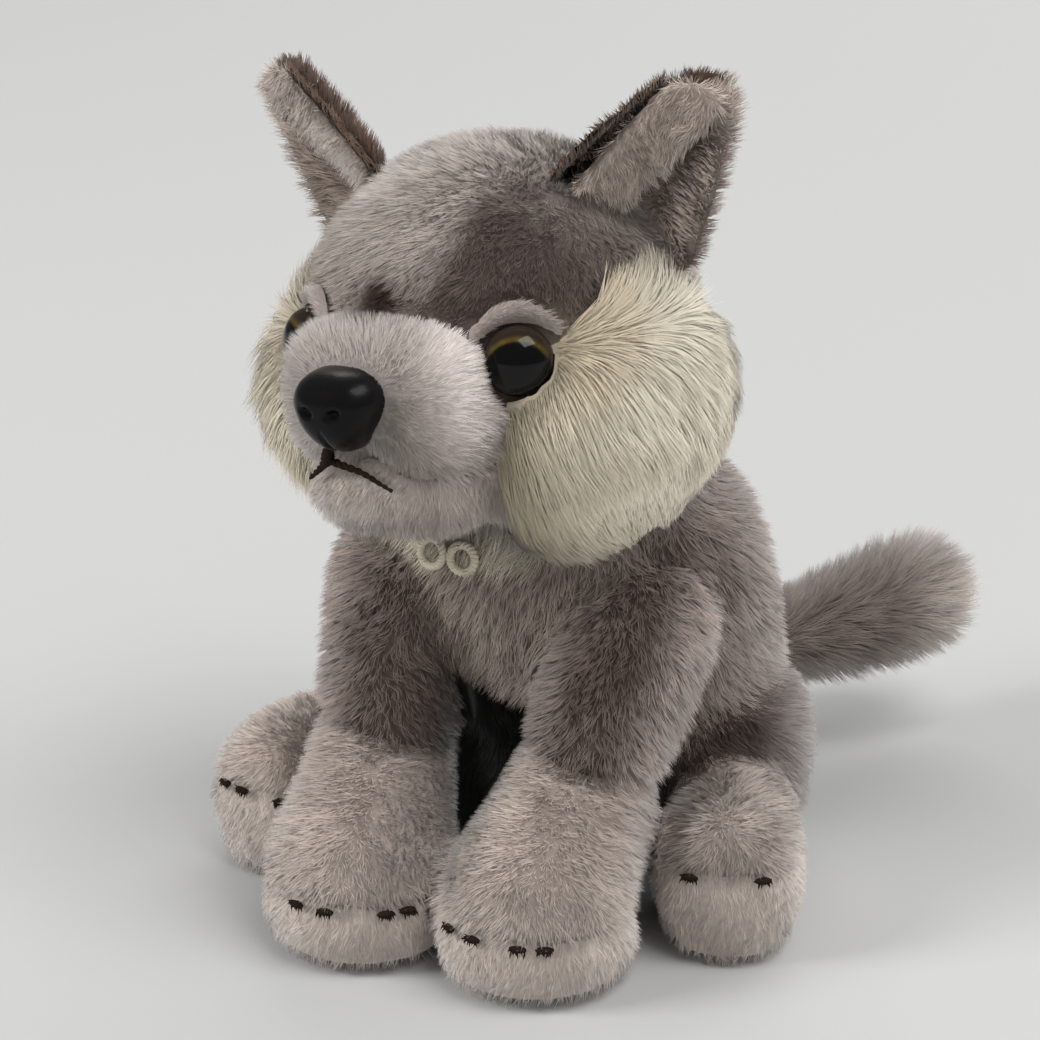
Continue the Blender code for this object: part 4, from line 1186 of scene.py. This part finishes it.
def make_nose():
    """A shield-shaped button, wide on top and narrow at the lip, with two nostrils and a groove."""
    points, corners, sizes = sphere_grid(*NOSE_GRID)
    node_points, _ = solids["nose"]
    local = in_head(node_points)
    low, high = local.min(0), local.max(0)
    centre, half = (low + high) / 2 + NOSE_SHIFT, (high - low) / 2 * NOSE_SCALE
    x, z, forward = points[:, 0], points[:, 1], points[:, 2]
    square = (np.abs(points) ** NOSE_SQUARE).sum(1) ** (-1 / NOSE_SQUARE)
    x, z, forward = x * square, z * square, forward * square
    narrow = 1 - NOSE_NARROW * smooth(-z, -0.4, 1.05)
    shape = np.stack([x * half[0] * narrow, -forward * half[1], z * half[2]], 1)
    shape[:, 1] += 0.9 * smooth(-z, 0.1, 1.0) * (forward > 0) * forward
    for sign in (1, -1):
        dx = (shape[:, 0] - sign * NOSTRIL_PLACE[0]) / NOSTRIL_RADIUS[0]
        dz = (shape[:, 2] - NOSTRIL_PLACE[1] - 0.25 * sign * dx) / NOSTRIL_RADIUS[1]
        dent = np.exp(-(dx * dx + dz * dz) ** 1.5) * (forward > 0)
        shape[:, 1] += NOSTRIL_DEPTH * dent
    groove = np.exp(-(shape[:, 0] / 0.5) ** 2) * smooth(-shape[:, 2], 1.5, 5.0) * (forward > -0.2)
    shape[:, 1] += GROOVE_DEPTH * groove
    shape[:, 2] += GROOVE_DEPTH * groove * smooth(-shape[:, 2], 4.5, 7.0)
    mesh = mesh_from("nose_button", from_head(shape + centre), corners, sizes)
    material = finish_of("nose_gloss", (0.0050, 0.0044, 0.0046), 0.28, specular=0.12)
    nodes, links = material.node_tree.nodes, material.node_tree.links
    place = nodes.new("ShaderNodeTexCoord")
    grain = nodes.new("ShaderNodeTexNoise")
    grain.inputs["Scale"].default_value = 900
    grain.inputs["Detail"].default_value = 3
    bump = nodes.new("ShaderNodeBump")
    bump.inputs["Strength"].default_value = 0.25
    bump.inputs["Distance"].default_value = 0.0002
    links.new(place.outputs["Object"], grain.inputs["Vector"])
    links.new(grain.outputs["Fac"], bump.inputs["Height"])
    links.new(bump.outputs["Normal"], nodes["Principled BSDF"].inputs["Normal"])
    piece_of("nose_button", mesh, material, ["nose"])


make_nose()

# Thread and cord


def tube(path, radii, sides=10):
    """A closed round tube along these points."""
    ways = unit(np.gradient(path, axis=0))
    helper = np.where(np.abs(ways[:, 2:3]) < 0.9, [[0, 0, 1.0]], [[1.0, 0, 0]])
    first = unit(np.cross(ways, helper))
    second = np.cross(ways, first)
    turn = np.arange(sides) * 2 * math.pi / sides
    outward = first[:, None] * np.cos(turn)[None, :, None] + second[:, None] * np.sin(turn)[None, :, None]
    rings = path[:, None] + outward * radii[:, None, None]
    last = (len(path) - 1) * sides
    corners = []
    for row in range(0, last, sides):
        for index in range(sides):
            after = (index + 1) % sides
            corners += [row + index, row + after, row + sides + after, row + sides + index]
    sizes = [4] * (len(corners) // 4) + [sides, sides]
    corners += [*range(sides)][::-1] + [*range(last, last + sides)]
    return rings.reshape(-1, 3), np.array(corners), np.array(sizes)


def curved(points, steps):
    """A smooth path through these points."""
    points = np.asarray(points, float)
    padded = np.concatenate([[2 * points[0] - points[1]], points, [2 * points[-1] - points[-2]]])
    path = []
    for index in range(len(points) - 1):
        a, b, c, d = padded[index:index + 4]
        for share in np.linspace(0, 1, steps, endpoint=False):
            path.append(0.5 * (2 * b + (c - a) * share + (2 * a - 5 * b + 4 * c - d) * share ** 2
                               + (3 * b - a - 3 * c + d) * share ** 3))
    path.append(points[-1])
    return np.array(path)


# The mouth's stitches, as places on the muzzle and the chin seen from the head
MOUTH_TOP = [(-3.6, -51.0, -9.6), (-4.6, -50.7, -11.6), (-5.6, -49.7, -13.6)]
MOUTH_RIGHT = [(-5.6, -49.7, -13.4), (-9.2, -47.9, -16.0), (-12.4, -46.8, -18.3)]
MOUTH_LEFT = [(-5.4, -49.8, -13.3), (-2.2, -49.6, -14.2), (1.6, -49.5, -15.1), (5.0, -49.4, -16.6),
              (8.4, -49.8, -17.8)]
THREAD_STEPS = 8
# A ply's turn at each step, and its offset and radius against the stitch's
PLY_TURN = 0.9
PLY_OFFSET = 0.45
PLY_RADIUS = 0.68


def twisted(points, radius, taper):
    """A stitch of two plies of thread, thinner at its far end."""
    path = from_head(curved(points, THREAD_STEPS))
    share = np.linspace(0, 1, len(path))
    size = radius * (1 - taper * share)
    ways = unit(np.gradient(path, axis=0))
    first = unit(np.cross(ways, (0.0, 0.0, 1.0)))
    second = np.cross(ways, first)
    plies = []
    for ply in (0, math.pi):
        turn = share * len(path) * PLY_TURN + ply
        outward = first * column(np.cos(turn)) + second * column(np.sin(turn))
        plies.append(tube(path + outward * column(size * PLY_OFFSET), size * PLY_RADIUS))
    return plies


thread_finish = finish_of("thread_brown", (0.018, 0.011, 0.008), 0.9, specular=0.1)
cord_finish = finish_of("cord_white", (0.62, 0.56, 0.45), 0.7, specular=0.25)
nylon_finish = finish_of("nylon", (0.55, 0.55, 0.53), 0.5)
line = fused(twisted(MOUTH_RIGHT, 0.85, 0.55) + twisted(MOUTH_LEFT, 0.80, 0.60))
piece_of("mouth_thread", mesh_from("mouth_thread", *line), thread_finish, ["mouth_line"])
short = fused(twisted(MOUTH_TOP, 0.75, -0.75))
piece_of("lip_thread", mesh_from("lip_thread", *short), thread_finish, ["lip_stitch"])

CLAW_HALF = np.array([1.7, 0.7, 0.75])
CLAW_SINK = 0.7
CLAW_GRID = (14, 10)
CLAW_HAIRS = 34
HAIR_HALF = 0.15
HAIR_FACES = np.array([0, 1, 3, 0, 3, 2, 2, 3, 4])


def make_claw(index, node):
    """A knot of dark thread with cut ends that stick out of it."""
    source = np.random.default_rng(SEED * 100 + index)
    node_points, _ = welded(node)
    centre = node_points.mean(0)
    place, out, _, _ = envelope_tree.find_nearest(centre.tolist())
    out = np.array(out)
    across = unit(np.cross((0, 0, 1), out))
    over = np.cross(out, across)
    middle = np.array(place) - out * CLAW_SINK
    points, corners, sizes = sphere_grid(*CLAW_GRID)
    axes = np.stack([across * CLAW_HALF[0], over * CLAW_HALF[1], out * CLAW_HALF[2]])
    knot = points @ axes * (1 + 0.15 * noise(points * 3, 1.5, index))[:, None] + middle
    parts = [(knot, corners, sizes)]
    for _ in range(CLAW_HAIRS):
        side_way = source.normal()
        start = middle + across * source.uniform(-1, 1) * CLAW_HALF[0] * 0.8
        start = start + over * source.uniform(-0.4, 0.4)
        way = unit(across * side_way + over * source.normal(-0.5, 0.7) + out * source.uniform(0.3, 0.9))
        length = source.uniform(0.7, 1.5)
        wide = unit(np.cross(way, out)) * HAIR_HALF
        bend = start + way * length * 0.6
        tip = start + (way * 0.9 + over * -0.35) * length
        five = np.array([start - wide, start + wide, bend - wide, bend + wide, tip])
        parts.append((five, HAIR_FACES, np.full(3, 3)))
    mesh = mesh_from(node + "_knot", *fused(parts))
    piece_of(node + "_knot", mesh, thread_finish, [node])


claws = sorted(node for node in THREADS if node.startswith("claw_"))
for index, node in enumerate(claws):
    make_claw(index, node)

LOOP_TWISTS = 11
LOOP_PLY = 0.50
LOOP_OFFSET = LOOP_PLY * 0.75
LOOP_POINTS = 161
LOOP_SIDES = 8


def make_loop(node):
    """A ring of two-ply cord where the plain ring of the solids is."""
    points, _ = welded(node)
    centre = points.mean(0)
    _, axes = np.linalg.eigh(np.cov((points - centre).T))
    flat, first, second = axes[:, 0], axes[:, 1], axes[:, 2]
    away = np.linalg.norm((points - centre) - np.outer((points - centre) @ flat, flat), axis=1)
    radius = (away.max() + away.min()) / 2
    turn = np.linspace(0, 2 * math.pi, LOOP_POINTS)
    outward = np.outer(np.cos(turn), first) + np.outer(np.sin(turn), second)
    plies = []
    for ply in (0, math.pi):
        twist = turn * LOOP_TWISTS + ply
        ring = centre + outward * (radius + LOOP_OFFSET * np.cos(twist))[:, None]
        ring = ring + np.outer(LOOP_OFFSET * np.sin(twist), flat)
        plies.append(tube(ring, np.full(len(ring), LOOP_PLY), LOOP_SIDES))
    mesh = mesh_from(node + "_cord", *fused(plies))
    piece_of(node + "_cord", mesh, cord_finish, [node])


for side, _ in SIDES:
    make_loop("hang_loop_" + side)
for node in ("eye_washer_left", "eye_washer_right", "nose_washer"):
    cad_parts[node].data.materials.clear()
    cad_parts[node].data.materials.append(nylon_finish)


# Floor, light and camera

# Each light's name, place, target and size in metres, watts, and whether shiny parts mirror it
LIGHTS = (
    ("top", (1.15, -0.25, 2.30), (0, 0.15, 0.05), (1.7, 1.3), 43.0, True),
    ("left", (-1.25, -0.99, 1.08), (0, 0, 0.06), (0.7, 0.7), 27.0, False),
    ("front", (1.15, -1.60, 0.95), (0, 0, 0.07), (3.0, 2.2), 13.0, False),
    ("right", (1.70, 0.55, 0.55), (0, 0, 0.10), (1.8, 1.0), 13.0, False),
    ("far", (-0.2, 1.9, 1.5), (0, 1.0, 0.0), (2.4, 1.0), 31.0, True),
)


def area_light(name, place, target, size, power, mirrored):
    data = bpy.data.lights.new(name, "AREA")
    data.shape = "RECTANGLE"
    data.size, data.size_y = size
    data.energy = power
    light = linked(name, data)
    light.visible_glossy = mirrored
    light.location = place
    light.rotation_euler = (Vector(target) - Vector(place)).to_track_quat("-Z", "Y").to_euler()


FLOOR_HALF = 4000.0
floor_corners = [(-FLOOR_HALF, -FLOOR_HALF, 0), (FLOOR_HALF, -FLOOR_HALF, 0),
                 (FLOOR_HALF, FLOOR_HALF, 0), (-FLOOR_HALF, FLOOR_HALF, 0)]
floor_mesh = mesh_from("floor", floor_corners, [0, 1, 2, 3], [4])
floor_mesh.materials.append(finish_of("floor", (0.455, 0.455, 0.450), 0.9, specular=0.1))
floor = linked("floor", floor_mesh)

world = bpy.data.worlds.new("studio")
bpy.context.scene.world = world
world.use_nodes = True
sky = world.node_tree.nodes["Background"].inputs
sky["Color"].default_value = (0.98, 0.99, 1.0, 1)
sky["Strength"].default_value = 0.20
for light in LIGHTS:
    area_light(*light)

back = np.array([math.sin(VIEW_AZIMUTH) * math.cos(VIEW_ELEVATION),
                 -math.cos(VIEW_AZIMUTH) * math.cos(VIEW_ELEVATION), math.sin(VIEW_ELEVATION)])
right = np.array([math.cos(VIEW_AZIMUTH), math.sin(VIEW_AZIMUTH), 0.0])
up = np.cross(back, right)
place = (VIEW_TARGET + right * VIEW_ASIDE + back * VIEW_DISTANCE) * MM
camera_data = bpy.data.cameras.new("camera")
camera_data.sensor_width = SENSOR_MM
camera_data.lens = SENSOR_MM * PIXELS_PER_MM * VIEW_DISTANCE / FRAME_PIXELS
camera_data.clip_start = 0.05
camera = linked("camera", camera_data)
rows = np.column_stack([right, up, back, place])
camera.matrix_world = Matrix([*rows.tolist(), (0, 0, 0, 1)])
bpy.context.scene.camera = camera
bpy.context.scene.view_settings.view_transform = "Standard"
